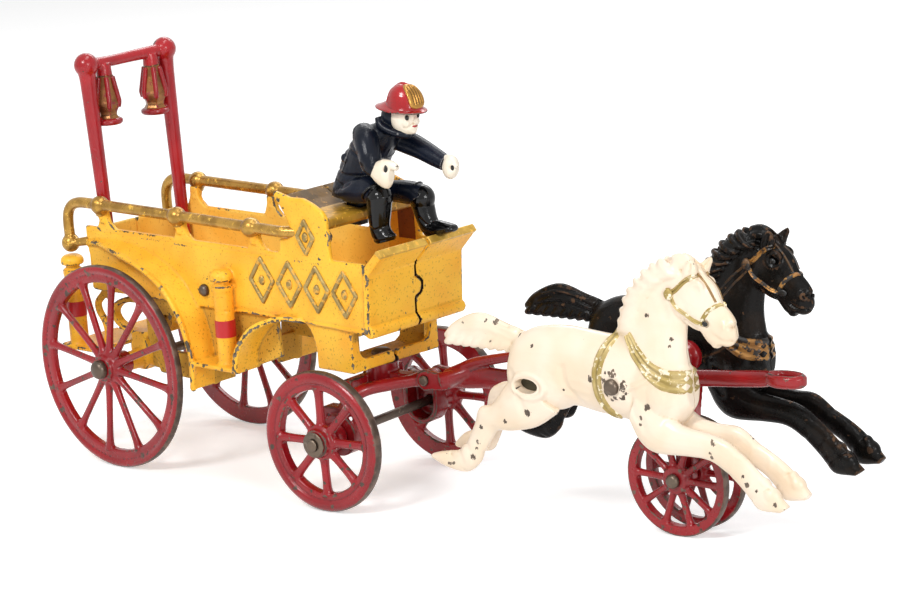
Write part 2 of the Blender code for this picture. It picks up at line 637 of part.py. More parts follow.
def front_truck():
    """Wishbone casting that turns under the body and carries the front axle in two cups."""
    pieces = [
        prism(arc(0, 0, 6.2, 0, 360, 16)[:-1], "z", 39.6, 48.6),
        prism([(-6.4, -3.6), (20.0, -2.6), (20.0, 2.6), (-6.4, 3.6)], "z", 40.6, 44.8),
        box(-6.6, -1.6, -15.6, 15.6, 39.8, 44.0),
        prism([(16.0, 40.8), (23.8, 40.6), (26.6, 42.2), (27.3, 44.2), (26.2, 46.8), (23.8, 47.6), (16.0, 45.2)], "y", -2.3, 2.3),
    ]
    for side in (-1, 1):
        pieces.append(tube([
            (0.0, side * 24.0, 34.6), (0.2, side * 19.4, 38.4), (3.0, side * 14.0, 40.8),
            (10.0, side * 7.4, 42.0), (18.4, side * 1.6, 43.0),
        ], [2.8, 2.7, 2.5, 2.4, 2.2], 8))
        cup = [(-8.0, 36.6), *arc(0, FRONT_WHEEL_R, 8.0, 180, 360, 10), (8.0, 36.6)]
        hollow = [(-6.0, 33.6), *arc(0, FRONT_WHEEL_R, 6.0, 180, 360, 10), (6.0, 33.6)]
        low, high = sorted((side * 20.4, side * 28.0))
        cup_low, cup_high = sorted((side * 19.0, side * 26.2))
        pieces.append(merge(prism(cup, "y", low, high), [prism(hollow, "y", cup_low, cup_high)], "DIFFERENCE"))
    bores = [
        turned([(FRONT_AXLE_R + GAP, -40), (FRONT_AXLE_R + GAP, 40)], 0, FRONT_WHEEL_R, 14),
        prism(arc(0, 0, 2.0 + GAP, 0, 360, 14)[:-1], "z", 30, 60),
        turned([(POLE_PIN_R + GAP, -10), (POLE_PIN_R + GAP, 10)], POLE_PIN[0], POLE_PIN[1], 10),
    ]
    return fuse(pieces, bores)


def king_pin():
    """Riveted pin that holds the truck under the body's front plate."""
    def ring(radius, z):
        return [(KING_PIN_X + radius * math.cos(t), radius * math.sin(t), z)
                for t in [2 * math.pi * i / 12 for i in range(12)]]
    return loft([ring(1.6, 37.6), ring(3.4, 38.2), ring(3.4, 39.3), ring(2.0, 39.3), ring(2.0, 51.3),
                 ring(3.8, 51.3), ring(3.6, 52.2), ring(1.8, 53.2)])


def pole():
    """Pole casting: forked eye, web and rising brace, cross boss for the team, wheel bracket and hitch ring."""
    px, pz = POLE_PIN
    web = prism([
        *arc(px, pz, 3.9, 100, 270, 7), (34.1, 41.6), (49.0, 43.2), (63.0, 44.4), (141.5, 53.0), (171.5, 56.1),
        (171.5, 62.0), (141.3, 59.2), (63.7, 52.6), (52.6, 51.4), (49.0, 55.4), (34.8, 49.6),
    ], "y", -2.1, 2.1)
    eye = prism([*arc(px, pz, 3.9, 100, 270, 7), (34.1, 41.6), (36.0, 49.4)], "y", -5.2, 5.2)
    brace = tube([
        (30.6, 0, 47.6), (44.6, 0, 52.2), (52.0, 0, 54.8), (64.0, 0, 57.6), (84.0, 0, 62.0), (104.0, 0, 63.8),
        (120.0, 0, 62.6), (129.1, 0, 59.8),
    ], [2.1, 2.4, 2.5, 2.3, 2.3, 2.3, 2.4, 2.8], 8)
    rx, rz = HORSE_RIVET
    boss = turned([
        (4.6, -14.8), (5.8, -13.8), (5.8, -11.6), (3.4, -10.4), (3.4, 10.4), (5.8, 11.6), (5.8, 13.8), (4.6, 14.8),
    ], rx, rz, 14)
    bracket = prism([
        (131.6, 54.0), (143.4, 57.6), (141.4, 44.0), (138.8, 22.0), *arc(POLE_WHEEL_X, POLE_WHEEL_R, 3.6, -20, -160, 6),
        (132.0, 24.0), (132.6, 44.0),
    ], "y", -2.2, 2.2)
    ring_out = [(178.2 + 8.0 * math.cos(t), 4.8 * math.sin(t)) for t in [2 * math.pi * i / 18 for i in range(18)]]
    ring_in = [(173.8, -1.4), (175.2, -2.7), (181.2, -2.7), (182.8, -1.4), (182.8, 1.4), (181.2, 2.7), (175.2, 2.7), (173.8, 1.4)]
    ring = prism(ring_out, "z", 56.6, 62.0)
    shank = prism([(120.0, 50.9), (171.6, 56.1), (171.6, 62.0), (120.0, 57.6)], "y", -2.7, 2.7)
    cuts = [
        box(px - 6, px + 5.6, -2.6, 2.6, 34, 54),
        turned([(POLE_PIN_R + GAP, -10), (POLE_PIN_R + GAP, 10)], px, pz, 10),
        turned([(POLE_AXLE_R + GAP, -10), (POLE_AXLE_R + GAP, 10)], POLE_WHEEL_X, POLE_WHEEL_R, 12),
        turned([(HORSE_RIVET_R + GAP, -20), (HORSE_RIVET_R + GAP, -7.0)], rx, rz, 10),
        turned([(HORSE_RIVET_R + GAP, 7.0), (HORSE_RIVET_R + GAP, 20)], rx, rz, 10),
        prism(ring_in, "z", 50, 70),
    ]
    return fuse([web, eye, brace, boss, bracket, ring, shank], cuts)


TRUNK = [
    (83.6, 71.2, 79.6, 60.0, 3.6), (86.6, 73.4, 80.2, 52.6, 6.8), (92.4, 75.8, 84.0, 48.0, 8.2), (100.0, 77.0, 98.6, 46.4, 8.5),
    (107.5, 77.2, 107.5, 48.8, 8.0), (116.5, 76.4, 117.5, 47.6, 8.2), (124.6, 76.0, 126.5, 46.8, 8.6),
    (132.5, 77.6, 136.5, 45.4, 8.5), (142.5, 76.6, 145.5, 43.6, 8.0), (150.5, 72.4, 152.5, 48.0, 6.6), (156.2, 67.0, 156.8, 53.4, 4.2),
]
NECK = [
    (129.0, 74.0, 152.0, 54.0, 7.6), (129.2, 79.0, 155.4, 63.0, 6.8), (131.2, 87.6, 154.6, 74.0, 5.6),
    (137.0, 95.8, 155.4, 81.8, 4.9), (144.8, 101.6, 157.6, 88.4, 4.4), (152.4, 104.6, 161.4, 95.4, 3.8),
]
HEAD = [
    (152.6, 103.0, 151.0, 92.4, 3.6), (161.6, 101.2, 153.8, 84.4, 4.8), (167.4, 97.4, 157.2, 81.6, 4.7), (170.2, 91.4, 161.0, 79.8, 3.9),
    (173.6, 87.8, 163.4, 77.0, 3.6), (175.2, 84.6, 166.6, 75.4, 3.4), (174.2, 80.4, 170.8, 76.4, 2.4),
]
TAIL = [
    (86.4, 73.4, 81.4, 65.6, 2.8), (78.5, 75.6, 76.4, 65.6, 3.0), (72.5, 77.7, 69.6, 65.8, 3.2), (67.6, 78.7, 62.2, 66.0, 3.2),
    (61.8, 77.6, 56.6, 66.0, 3.0), (54.6, 74.0, 52.4, 66.4, 2.4), (50.2, 69.6, 50.2, 67.2, 1.2),
]
NEAR_HIND = [
    (86.5, 62.0, 102.5, 46.5, 4.0), (79.2, 53.4, 92.6, 40.4, 4.0), (73.4, 46.9, 82.0, 37.8, 3.2), (67.8, 45.0, 75.6, 37.2, 2.8),
    (65.2, 39.0, 72.6, 34.0, 2.3), (61.0, 31.6, 68.6, 28.2, 2.2), (57.2, 28.2, 66.4, 24.2, 2.5), (53.4, 27.6, 60.6, 20.0, 2.6),
    (48.4, 26.6, 52.4, 20.8, 2.6), (44.2, 25.2, 45.6, 23.6, 1.8),
]
FAR_HIND = [
    (86.5, 62.0, 100.5, 48.0, 3.8), (77.0, 54.0, 88.0, 43.0, 3.6), (71.2, 52.3, 79.6, 42.2, 3.0), (65.8, 48.8, 74.2, 40.2, 2.5),
    (63.4, 41.4, 71.0, 36.6, 2.2), (60.0, 35.6, 68.5, 31.4, 2.1), (56.6, 33.2, 65.0, 26.4, 2.4), (52.6, 31.6, 57.6, 25.2, 2.5),
    (48.4, 27.8, 49.8, 25.6, 1.8),
]
NEAR_FORE = [
    (138.5, 60.0, 133.5, 47.0, 4.0), (148.4, 52.0, 137.2, 40.4, 4.1), (154.0, 48.2, 143.5, 37.0, 3.8), (163.2, 46.6, 156.6, 37.3, 3.0),
    (170.6, 45.2, 165.4, 36.8, 2.6), (177.0, 41.6, 172.6, 32.8, 2.2), (184.5, 35.4, 178.5, 27.6, 2.0), (189.4, 30.8, 181.0, 24.9, 2.4),
    (192.4, 27.8, 184.4, 21.8, 2.6), (195.9, 24.5, 192.6, 22.0, 2.2),
]
FAR_FORE = [
    (146.5, 56.0, 141.5, 45.0, 4.0), (154.4, 49.2, 148.4, 40.4, 3.6), (162.4, 47.4, 158.6, 39.6, 3.0), (171.4, 47.0, 167.6, 39.2, 2.6),
    (179.0, 42.2, 174.6, 35.0, 2.2), (186.3, 38.2, 181.5, 31.0, 2.0), (191.5, 34.4, 185.1, 27.6, 2.4), (196.0, 30.2, 188.4, 23.4, 2.6),
    (198.7, 26.8, 197.0, 24.4, 2.2),
]


def horse():
    """Galloping horse about its own centre plane: trunk, neck, head, ears, tail and four legs."""
    pieces = [
        limb(TRUNK, 0.0, 12), limb(NECK, 0.0, 10), limb(HEAD, 0.0, 10), limb(TAIL, 0.0, 8),
        limb(NEAR_HIND, -4.6, 7), limb(FAR_HIND, 4.6, 7), limb(NEAR_FORE, -4.6, 7), limb(FAR_FORE, 4.6, 7),
    ]
    for side in (-1, 1):
        pieces.append(tube([(157.4, side * 2.4, 99.6), (159.6, side * 2.9, 102.6), (161.8, side * 3.2, 105.8)], [1.6, 1.5, 0.3], 6))
    haunch = (92.4, 55.4)
    pieces.append(turned([(5.7, -9.0), (6.0, -6.5)], haunch[0], haunch[1], 12))
    rx, rz = HORSE_RIVET
    pieces.append(turned([(4.2, -HORSE_BOSS_Y), (5.0, -6.5), (5.0, 6.5), (4.2, HORSE_BOSS_Y)], rx, rz, 12))
    cuts = [
        turned([(3.3, -12), (3.0, -5.6)], haunch[0], haunch[1], 10),
        turned([(HORSE_RIVET_R + GAP, -12), (HORSE_RIVET_R + GAP, 12)], rx, rz, 10),
    ]
    return fuse(pieces, cuts)


def horse_rivet():
    """Rivet through both halves of the right-hand horse into the pole's boss."""
    rx, rz = HORSE_RIVET
    head = HORSE_Y + HORSE_BOSS_Y + GAP
    return turned([
        (1.8, -head - 1.9), (2.8, -head - 1.2), (2.9, -head), (HORSE_RIVET_R, -head), (HORSE_RIVET_R, -7.4),
    ], rx, rz, 12)


def build():
    clear_scene()
    wagon = empty("wagon", None, (-ORIGIN_X, -ORIGIN_Y, 0.0))
    truck = empty("truck", wagon, (KING_PIN_X, 0.0, 0.0), TRUCK_TURN_DEG)

    half = body_half()
    other = mirrored(half)
    right = merge(half, [dash_tab(0.0)], "UNION")
    left = merge(other, [dash_tab(GAP)], "DIFFERENCE")
    finish(right, "body_right", YELLOW, wagon, (0, 0, 0))
    finish(left, "body_left", YELLOW, wagon, (0, 0, 0))

    tie = headed_axle(TIE_RIVET[0], TIE_RIVET[1], TIE_RIVET_R, SIDE_Y + GAP, 2.3, 1.5, 12)
    finish(tie, "body_rivet", STEEL, wagon, (TIE_RIVET[0], 0, TIE_RIVET[1]))
    finish(lamp_arch(), "lamp_arch", RED, wagon, (-14.0, 0, FLOOR_Z + GAP))
    finish(driver(), "driver", NAVY, wagon, (106.5, 0, 107.0))

    hub = (0, 0, REAR_WHEEL_R)
    finish(headed_axle(0, REAR_WHEEL_R, REAR_AXLE_R, 40.8 + GAP, 3.7, 3.2), "rear_axle", STEEL, wagon, hub)
    wheel = rear_wheel()
    finish(mirrored(wheel), "rear_wheel_left", RED, wagon, hub)
    finish(wheel, "rear_wheel_right", RED, wagon, hub)

    hub = (0, 0, FRONT_WHEEL_R)
    finish(headed_axle(0, FRONT_WHEEL_R, FRONT_AXLE_R, 43.0, 2.3, 1.0, 14, False), "front_axle", STEEL, truck, hub)
    wheel = front_wheel()
    finish(mirrored(wheel), "front_wheel_left", RED, truck, hub)
    finish(wheel, "front_wheel_right", RED, truck, hub)
    washer = hoop([(2.0, -42.7), (4.6, -42.7), (4.7, -41.6), (2.0, -41.6)], 0, FRONT_WHEEL_R, 16)
    finish(mirrored(washer), "front_washer_left", STEEL, truck, hub)
    finish(washer, "front_washer_right", STEEL, truck, hub)

    hub = (POLE_WHEEL_X, 0, POLE_WHEEL_R)
    finish(headed_axle(*hub[::2], POLE_AXLE_R, 8.3 + GAP, 2.6, 1.9, 12, False), "pole_axle", STEEL, truck, hub)
    wheel = pole_wheel()
    finish(mirrored(wheel), "pole_wheel_left", RED, truck, hub)
    finish(wheel, "pole_wheel_right", RED, truck, hub)

    finish(front_truck(), "front_truck", RED, truck, (0, 0, 0))
    finish(king_pin(), "king_pin", STEEL, wagon, (KING_PIN_X, 0, 45.0))
    pin = headed_axle(POLE_PIN[0], POLE_PIN[1], POLE_PIN_R, 5.2 + GAP, 1.9, 1.0, 10)
    finish(pin, "pole_pin", STEEL, truck, (POLE_PIN[0], 0, POLE_PIN[1]))
    finish(pole(), "pole", RED, truck, (POLE_PIN[0], 0, POLE_PIN[1]))

    for name, colour, at_y in (("white_horse", WHITE, -HORSE_Y), ("black_horse", BLACK, HORSE_Y)):
        whole = horse()
        twin = whole.copy()
        twin.data = whole.data.copy()
        bpy.context.collection.objects.link(twin)
        right = merge(whole, [box(30, 210, -SEAM, 30, 10, 120)], "DIFFERENCE")
        left = merge(twin, [box(30, 210, -30, SEAM, 10, 120)], "DIFFERENCE")
        seat = (HORSE_RIVET[0], at_y, HORSE_RIVET[1])
        finish(moved(right, 0, at_y, 0), name + "_right", colour, truck, seat)
        finish(moved(left, 0, at_y, 0), name + "_left", colour, truck, seat)
    rivet = horse_rivet()
    seat = (HORSE_RIVET[0], 0, HORSE_RIVET[1])
    finish(mirrored(rivet), "black_horse_rivet", STEEL, truck, seat)
    finish(rivet, "white_horse_rivet", STEEL, truck, seat)


build()
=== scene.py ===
"""The finished look of an old cast iron hose wagon with its driver and two galloping horses.

Shapes are drawn in millimetres, as the wagon's castings would be, and placed in metres.
The wagon's drawing starts on the ground under the rear axle, the truck's under the king pin,
and a horse's on its own centre plane, so +X points ahead and +Y to the wagon's left in each.
"""
import math

import bmesh
import bpy
import numpy as np
from mathutils import Matrix, Vector
from mathutils.bvhtree import BVHTree


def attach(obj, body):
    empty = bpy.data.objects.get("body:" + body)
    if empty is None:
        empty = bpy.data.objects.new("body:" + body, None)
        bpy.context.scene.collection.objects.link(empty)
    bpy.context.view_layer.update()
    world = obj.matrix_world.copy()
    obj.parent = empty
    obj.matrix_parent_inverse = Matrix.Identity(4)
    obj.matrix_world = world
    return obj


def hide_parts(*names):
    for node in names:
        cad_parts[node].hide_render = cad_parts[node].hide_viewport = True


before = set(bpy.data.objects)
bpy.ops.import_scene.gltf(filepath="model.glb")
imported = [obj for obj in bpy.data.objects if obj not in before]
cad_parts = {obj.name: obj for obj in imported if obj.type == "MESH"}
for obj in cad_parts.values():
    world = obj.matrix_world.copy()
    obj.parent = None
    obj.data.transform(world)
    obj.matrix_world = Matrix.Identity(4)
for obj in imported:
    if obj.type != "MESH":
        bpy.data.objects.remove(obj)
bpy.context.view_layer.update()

# Sizes and places in millimetres: first the frame's origin and the king pin in the wagon's own drawing
MM = 0.001
ORIGIN = (136.5, 2.2)
KING_PIN_X = 113.5
TRUCK_TURN = math.radians(5.3)
WAGON = Matrix.Translation((-ORIGIN[0] * MM, -ORIGIN[1] * MM, 0.0))
TRUCK = WAGON @ Matrix.Translation((KING_PIN_X * MM, 0.0, 0.0)) @ Matrix.Rotation(TRUCK_TURN, 4, "Z")
SIDES = ((-1, "right"), (1, "left"))

# Body: half the gap of its seam, outer faces and thickness of its walls, its levels, rails and fittings
SEAM = 0.15
SIDE_Y = 24.8
SIDE_T = 2.2
WALL_Y = 22.8
WALL_T = 2.0
LIP_Y = 34.0
FLOOR_Z = 68.0
TOP_Z = 92.0
RAIL_Y = 25.9
RAIL_R = 2.15
POST_X = (-9.5, 34.9, 75.8)
TIE_RIVET = (46.6, 73.4)
SPRING_Y = -18.2
SIDE_TANK = (60.0, 28.4)
REAR_TANK = (-30.6, 25.0)
TAB_Y = -0.1
TAB_Z = 78.8
TAB_R = 3.3
LOZENGE_R = 0.95
ARCH_X = -16.6
ARCH_Y = 20.3
LANTERN_X = -15.8
LANTERN_Y = 12.2

# Wheels, pole and horses
REAR_R = 40.2
FRONT_R = 26.5
SMALL_R = 20.6
SMALL_X = 135.3
HORSE_Y = 23.9
TEAM_RIVET = (129.1, 59.8)
POLE_PIN = (23.8, 44.2)

# View, with its distance in metres, and light
CAMERA_TURN = math.radians(44.11)
CAMERA_RISE = math.radians(13.03)
CAMERA_ROLL = -0.0697
CAMERA_GAP = 1.214
CAMERA_LENS = 132.0
WORLD_LIGHT = 0.35
FLOOR_GLOW = 0.4


# Shapes: each is a list of points in millimetres and a list of faces

def turns(steps, count=None):
    """Angles of a full circle cut into steps, the first one again at the end when count asks for it."""
    return [2 * math.pi * i / steps for i in range(count or steps)]


def through(points, per=5):
    """A smooth curve through the given points, which may have any number of values each."""
    p = np.array(points, dtype=float)
    out = []
    for i in range(len(p) - 1):
        b, c = p[i], p[i + 1]
        a = p[i - 1] if i else 2 * b - c
        d = p[i + 2] if i + 2 < len(p) else 2 * c - b
        for k in range(per):
            t = k / per
            out.append(0.5 * (2 * b + (c - a) * t + (2 * a - 5 * b + 4 * c - d) * t * t
                              + (3 * b - 3 * c + d - a) * t ** 3))
    out.append(p[-1])
    return np.array(out)


def loft(rings, closed=False):
    """Skin over rings of equally many points, closed into a loop or capped at both ends."""
    count = len(rings[0])
    verts = [tuple(map(float, p)) for ring in rings for p in ring]
    faces = []
    last = len(rings) if closed else len(rings) - 1
    for r in range(last):
        low = r * count
        high = ((r + 1) % len(rings)) * count
        for i in range(count):
            j = (i + 1) % count
            faces.append((low + i, low + j, high + j, high + i))
    if not closed:
        faces.append(tuple(range(count))[::-1])
        top = (len(rings) - 1) * count
        faces.append(tuple(range(top, top + count)))
    return verts, faces


def prism(outline, axis, low, high):
    """Flat outline drawn out along an axis: pairs of x and z along y, x and y along z, or y and z along x."""
    place = {
        "y": lambda a, b, depth: (a, depth, b),
        "z": lambda a, b, depth: (a, b, depth),
        "x": lambda a, b, depth: (depth, a, b),
    }[axis]
    return loft([[place(a, b, low) for a, b in outline], [place(a, b, high) for a, b in outline]])


def box(x0, x1, y0, y1, z0, z1):
    return prism([(x0, z0), (x1, z0), (x1, z1), (x0, z1)], "y", y0, y1)


def arc(cx, cz, radius, start, end, steps):
    turn = [math.radians(start + (end - start) * i / steps) for i in range(steps + 1)]
    return [(cx + radius * math.cos(t), cz + radius * math.sin(t)) for t in turn]


def circle(radius, steps, flat=1.0):
    return [(radius * math.cos(t), flat * radius * math.sin(t)) for t in turns(steps)]


def turned_y(profile, cx, cz, steps=40):
    """Solid of revolution round a line along Y, from pairs of radius and y."""
    return loft([[(cx + a, y, cz + b) for a, b in circle(max(r, 0.02), steps)] for r, y in profile])


def turned_z(profile, cx, cy, steps=32):
    """Solid of revolution round an upright line, from pairs of radius and z."""
    return loft([[(cx + a, cy + b, z) for a, b in circle(max(r, 0.02), steps)] for r, z in profile])


def hoop(profile, cx, cz, steps=96):
    """Ring of revolution round a line along Y, from a closed loop of radius and y."""
    return loft([[(cx + r * math.cos(t), y, cz + r * math.sin(t)) for r, y in profile] for t in turns(steps)],
                True)


def hoop_z(profile, steps):
    """Ring of revolution round the upright line through the origin, from a closed loop of radius and z."""
    return loft([[(r * math.cos(t), r * math.sin(t), z) for r, z in profile] for t in turns(steps)], True)


def cross_frame(points):
    """Each point of a line with two directions square to it that turn as little as they can."""
    points = [Vector(p) for p in points]
    side = None
    out = []
    for i, point in enumerate(points):
        along = (points[min(i + 1, len(points) - 1)] - points[max(i - 1, 0)]).normalized()
        if side is None:
            side = along.orthogonal().normalized()
        side = (side - along * side.dot(along)).normalized()
        out.append((point, side, along.cross(side)))
    return out


def rod(points, radii, sides=16, per=5):
    """Round bar along a smooth curve, its radius changing evenly between the points."""
    if not hasattr(radii, "__len__"):
        radii = [radii] * len(points)
    line = [(*p, r) for p, r in zip(points, radii)]
    line = through(line, per) if per > 1 else np.array(line, dtype=float)
    rings = []
    for (point, a, b), radius in zip(cross_frame(line[:, :3]), line[:, 3]):
        rings.append([point + a * (radius * u) + b * (radius * v) for u, v in circle(1.0, sides)])
    return loft(rings)


def ball(centre, radii, segments=24, rings=16, tilt_deg=0.0):
    """Ball or egg, tilted nose up or down about Y."""
    if not hasattr(radii, "__len__"):
        radii = (radii, radii, radii)
    turn = Matrix.Rotation(math.radians(tilt_deg), 3, "Y")
    out = []
    for i in range(rings + 1):
        polar = math.pi * min(max(i, 0.05), rings - 0.05) / rings
        ring = []
        for a, b in circle(math.sin(polar), segments):
            p = turn @ Vector((radii[0] * a, radii[1] * b, -radii[2] * math.cos(polar)))
            ring.append(Vector(centre) + p)
        out.append(ring)
    return loft(out)


def limb(sections, y=0.0, sides=20):
    """Oval bar through sections of upper point, lower point and half width."""
    rings = []
    for top_x, top_z, low_x, low_z, half in through(sections):
        ring = []
        for u, v in circle(1.0, sides):
            mix = (1 + u) / 2
            ring.append((low_x + (top_x - low_x) * mix, y + half * v, low_z + (top_z - low_z) * mix))
        rings.append(ring)
    return loft(rings)


def mirror_shape(shape):
    verts, faces = shape
    return [(x, -y, z) for x, y, z in verts], [face[::-1] for face in faces]


# Pieces: shapes fused into one skin, as iron fills a mould

def new_object(name, data, place):
    obj = bpy.data.objects.new(name, data)
    bpy.context.scene.collection.objects.link(obj)
    obj.matrix_world = place
    return obj


def raw_object(name, shapes, place, origin=(0, 0, 0)):
    """Shapes side by side in one mesh, not yet fused, with the object's own origin where it is given."""
    verts = []
    faces = []
    for shape_verts, shape_faces in shapes:
        start = len(verts)
        verts.extend(((x - origin[0]) * MM, (y - origin[1]) * MM, (z - origin[2]) * MM)
                     for x, y, z in shape_verts)
        faces.extend(tuple(start + i for i in face) for face in shape_faces)
    mesh = bpy.data.meshes.new(name)
    mesh.from_pydata(verts, [], faces)
    bm = bmesh.new()
    bm.from_mesh(mesh)
    bmesh.ops.recalc_face_normals(bm, faces=bm.faces)
    bm.to_mesh(mesh)
    bm.free()
    return new_object(name, mesh, place @ Matrix.Translation(Vector(origin) * MM))


def bake_modifiers(obj):
    view = bpy.context.evaluated_depsgraph_get()
    result = bpy.data.meshes.new_from_object(obj.evaluated_get(view))
    obj.modifiers.clear()
    obj.data = result
    return obj


def cast_piece(name, shapes, place, origin=(0, 0, 0), grain=0.45, soften=3):
    """Overlapping shapes fused into one casting with the soft edges and inner corners of sand-cast iron."""
    obj = raw_object(name, shapes, place, origin)
    fuse = obj.modifiers.new("fuse", "REMESH")
    fuse.mode = "VOXEL"
    fuse.voxel_size = grain * MM * 1.0
    soft = obj.modifiers.new("soften", "SMOOTH")
    soft.factor = 0.5
    soft.iterations = soften
    return bake_modifiers(obj)


def machined_piece(name, shapes, place):
    """A turned or drawn piece that keeps its crisp edges."""
    obj = raw_object(name, shapes, place)
    mark_bend(obj)
    shade(obj, 40)
    return obj


def shade(obj, angle=60.0):
    obj.data.polygons.foreach_set("use_smooth", [True] * len(obj.data.polygons))
    obj.data.set_sharp_from_angle(angle=math.radians(angle))


def read_all(items, key, width=1, kind=float):
    values = np.empty(len(items) * width, dtype=kind)
    items.foreach_get(key, values)
    return values.reshape(-1, width) if width > 1 else values


def skin_arrays(mesh):
    """Places of the mesh's points in millimetres, and their normals."""
    return read_all(mesh.vertices, "co", 3) / MM, read_all(mesh.vertex_normals, "vector", 3)


def skin_neighbours(mesh):
    """A function that averages what each edge hands to its two ends, and the two ends of every edge."""
    ends = read_all(mesh.edges, "vertices", 2, int)
    a, b = ends.T
    count = np.maximum(np.bincount(ends.ravel(), minlength=len(mesh.vertices)), 1)

    def gather(at_a, at_b):
        return (np.bincount(a, at_a, len(count)) + np.bincount(b, at_b, len(count))) / count

    return gather, a, b


def middles(place, gather, a, b):
    """The mean place of each point's neighbours."""
    return np.stack([gather(place[b, k], place[a, k]) for k in range(3)], axis=1)


def store_values(mesh, name, values):
    layer = mesh.attributes.new(name, "FLOAT", "POINT")
    layer.data.foreach_set("value", values.astype(np.float32))


def write_places(mesh, place):
    mesh.vertices.foreach_set("co", (place * MM).ravel())
    mesh.update()


def press(obj, lines, width, depth, side=0):
    """Presses grooves (depth below zero) or raises ridges along lines given as (x, z) or (x, y, z)."""
    place, normal = skin_arrays(obj.data)
    push = np.zeros(len(place))
    for line in lines:
        path = through(line, 6) if len(line) > 2 else np.array(line, dtype=float)
        steps = max(2, int(np.linalg.norm(np.diff(path, axis=0), axis=1).sum() / (0.4 * width)) + 2)
        stations = np.linspace(0, len(path) - 1, steps)
        low = np.floor(stations).astype(int).clip(0, max(len(path) - 2, 0))
        part = (stations - low)[:, None]
        dots = path[low] * (1 - part) + path[np.minimum(low + 1, len(path) - 1)] * part
        axes = [0, 2] if dots.shape[1] == 2 else [0, 1, 2]
        here = place[:, axes]
        near = np.all((here > dots.min(axis=0) - 3 * width) & (here < dots.max(axis=0) + 3 * width), axis=1)
        if side:
            near &= (place[:, 1] * side > -0.5) & (normal[:, 1] * side > 0.05)
        spots = np.nonzero(near)[0]
        if not len(spots):
            continue
        gap = np.full(len(spots), 1e9)
        for dot in dots:
            gap = np.minimum(gap, ((here[spots] - dot) ** 2).sum(axis=1))
        amount = np.exp(-gap / (width * width))
        push[spots] = np.where(np.abs(amount) > np.abs(push[spots]), amount, push[spots])
    write_places(obj.data, place + normal * (push * depth)[:, None])


def dent(obj, spots, side=0):
    """Sinks or raises round spots: each is (x, z, radius, depth) or (x, y, z, radius, depth)."""
    place, normal = skin_arrays(obj.data)
    push = np.zeros(len(place))
    for spot in spots:
        centre, (radius, depth) = spot[:-2], spot[-2:]
        axes = [0, 2] if len(centre) == 2 else [0, 1, 2]
        gap = ((place[:, axes] - np.array(centre)) ** 2).sum(axis=1) / (radius * radius)
        amount = np.exp(-gap ** 1.5)
        if side:
            amount = amount * ((place[:, 1] * side > -0.5) & (normal[:, 1] * side > 0.05))
        push += amount * depth
    write_places(obj.data, place + normal * push[:, None])


def mark_bend(obj, passes=3):
    """Stores how sharply the skin bends, above zero on edges and below zero in hollows, in 1/mm."""
    place, normal = skin_arrays(obj.data)
    gather, a, b = skin_neighbours(obj.data)
    step = np.linalg.norm(place[a] - place[b], axis=1) ** 2
    spacing = np.maximum(gather(step, step), 1e-6)
    bend = 2 * ((place - middles(place, gather, a, b)) * normal).sum(axis=1) / spacing
    for _ in range(passes):
        bend = 0.5 * bend + 0.5 * gather(bend[b], bend[a])
    store_values(obj.data, "bend", bend)


def finish_cast(obj):
    mark_bend(obj)
    shade(obj)
    return obj


def knock(obj, places, count, sizes, seed, sharp=0.3):
    """Stores how near each point lies to a chip, from (x, y, z, radius), where y may be left open as None.

    Further chips fall on the sharpest edges, at places drawn from the seed.
    """
    place, _ = skin_arrays(obj.data)
    chips = list(places)
    edge = np.nonzero(read_all(obj.data.attributes["bend"].data, "value") > sharp)[0]
    draw = np.random.default_rng(seed)
    for spot in draw.choice(edge, count):
        chips.append((*place[spot], draw.uniform(*sizes)))
    amount = np.zeros(len(place))
    for x, y, z, radius in chips:
        gap = (place[:, 0] - x) ** 2 + (place[:, 2] - z) ** 2
        if y is not None:
            gap += (place[:, 1] - y) ** 2
        amount = np.maximum(amount, 1.3 - np.sqrt(gap) / radius)
    store_values(obj.data, "chips", amount.clip(0.0, 1.0))


def part_finish(obj, finish, chosen):
    """A second finish on the faces whose middle, in millimetres, the test picks."""
    mesh = obj.data
    x, y, z = (read_all(mesh.polygons, "center", 3) / MM).T
    index = read_all(mesh.polygons, "material_index", 1, np.int32)
    index[chosen(x, np.abs(y), z)] = len(mesh.materials)
    mesh.materials.append(finish)
    mesh.polygons.foreach_set("material_index", index)
    mesh.update()


def fill_with_paint(obj, lines):
    """Thick enamel evens out the relief beside lines of (x, z), each with its reach and number of coats."""
    place, _ = skin_arrays(obj.data)
    gather, a, b = skin_neighbours(obj.data)
    for line, reach, coats in lines:
        gap = np.full(len(place), 1e9)
        for dot in through(line, 6):
            gap = np.minimum(gap, np.hypot(place[:, 0] - dot[0], place[:, 2] - dot[1]))
        weight = (1.6 - 1.6 * gap / reach).clip(0.0, 0.7) * (np.abs(place[:, 1]) > 1.2)
        for _ in range(coats):
            place = place + weight[:, None] * (middles(place, gather, a, b) - place)
    write_places(obj.data, place)


def half_of(obj, name, side):
    """The part of a piece on one side of its centre plane, capped with the flat face of its seam."""
    mesh = obj.data.copy()
    bm = bmesh.new()
    bm.from_mesh(mesh)
    cut = bmesh.ops.bisect_plane(
        bm, geom=bm.verts[:] + bm.edges[:] + bm.faces[:], dist=1e-7,
        plane_co=(0, side * SEAM * MM, 0), plane_no=(0, side, 0), clear_inner=True,
    )
    rim = [e for e in cut["geom_cut"] if isinstance(e, bmesh.types.BMEdge)]
    bmesh.ops.triangle_fill(bm, use_beauty=True, edges=rim)
    bmesh.ops.recalc_face_normals(bm, faces=bm.faces)
    bm.to_mesh(mesh)
    bm.free()
    return new_object(name, mesh, obj.matrix_world)


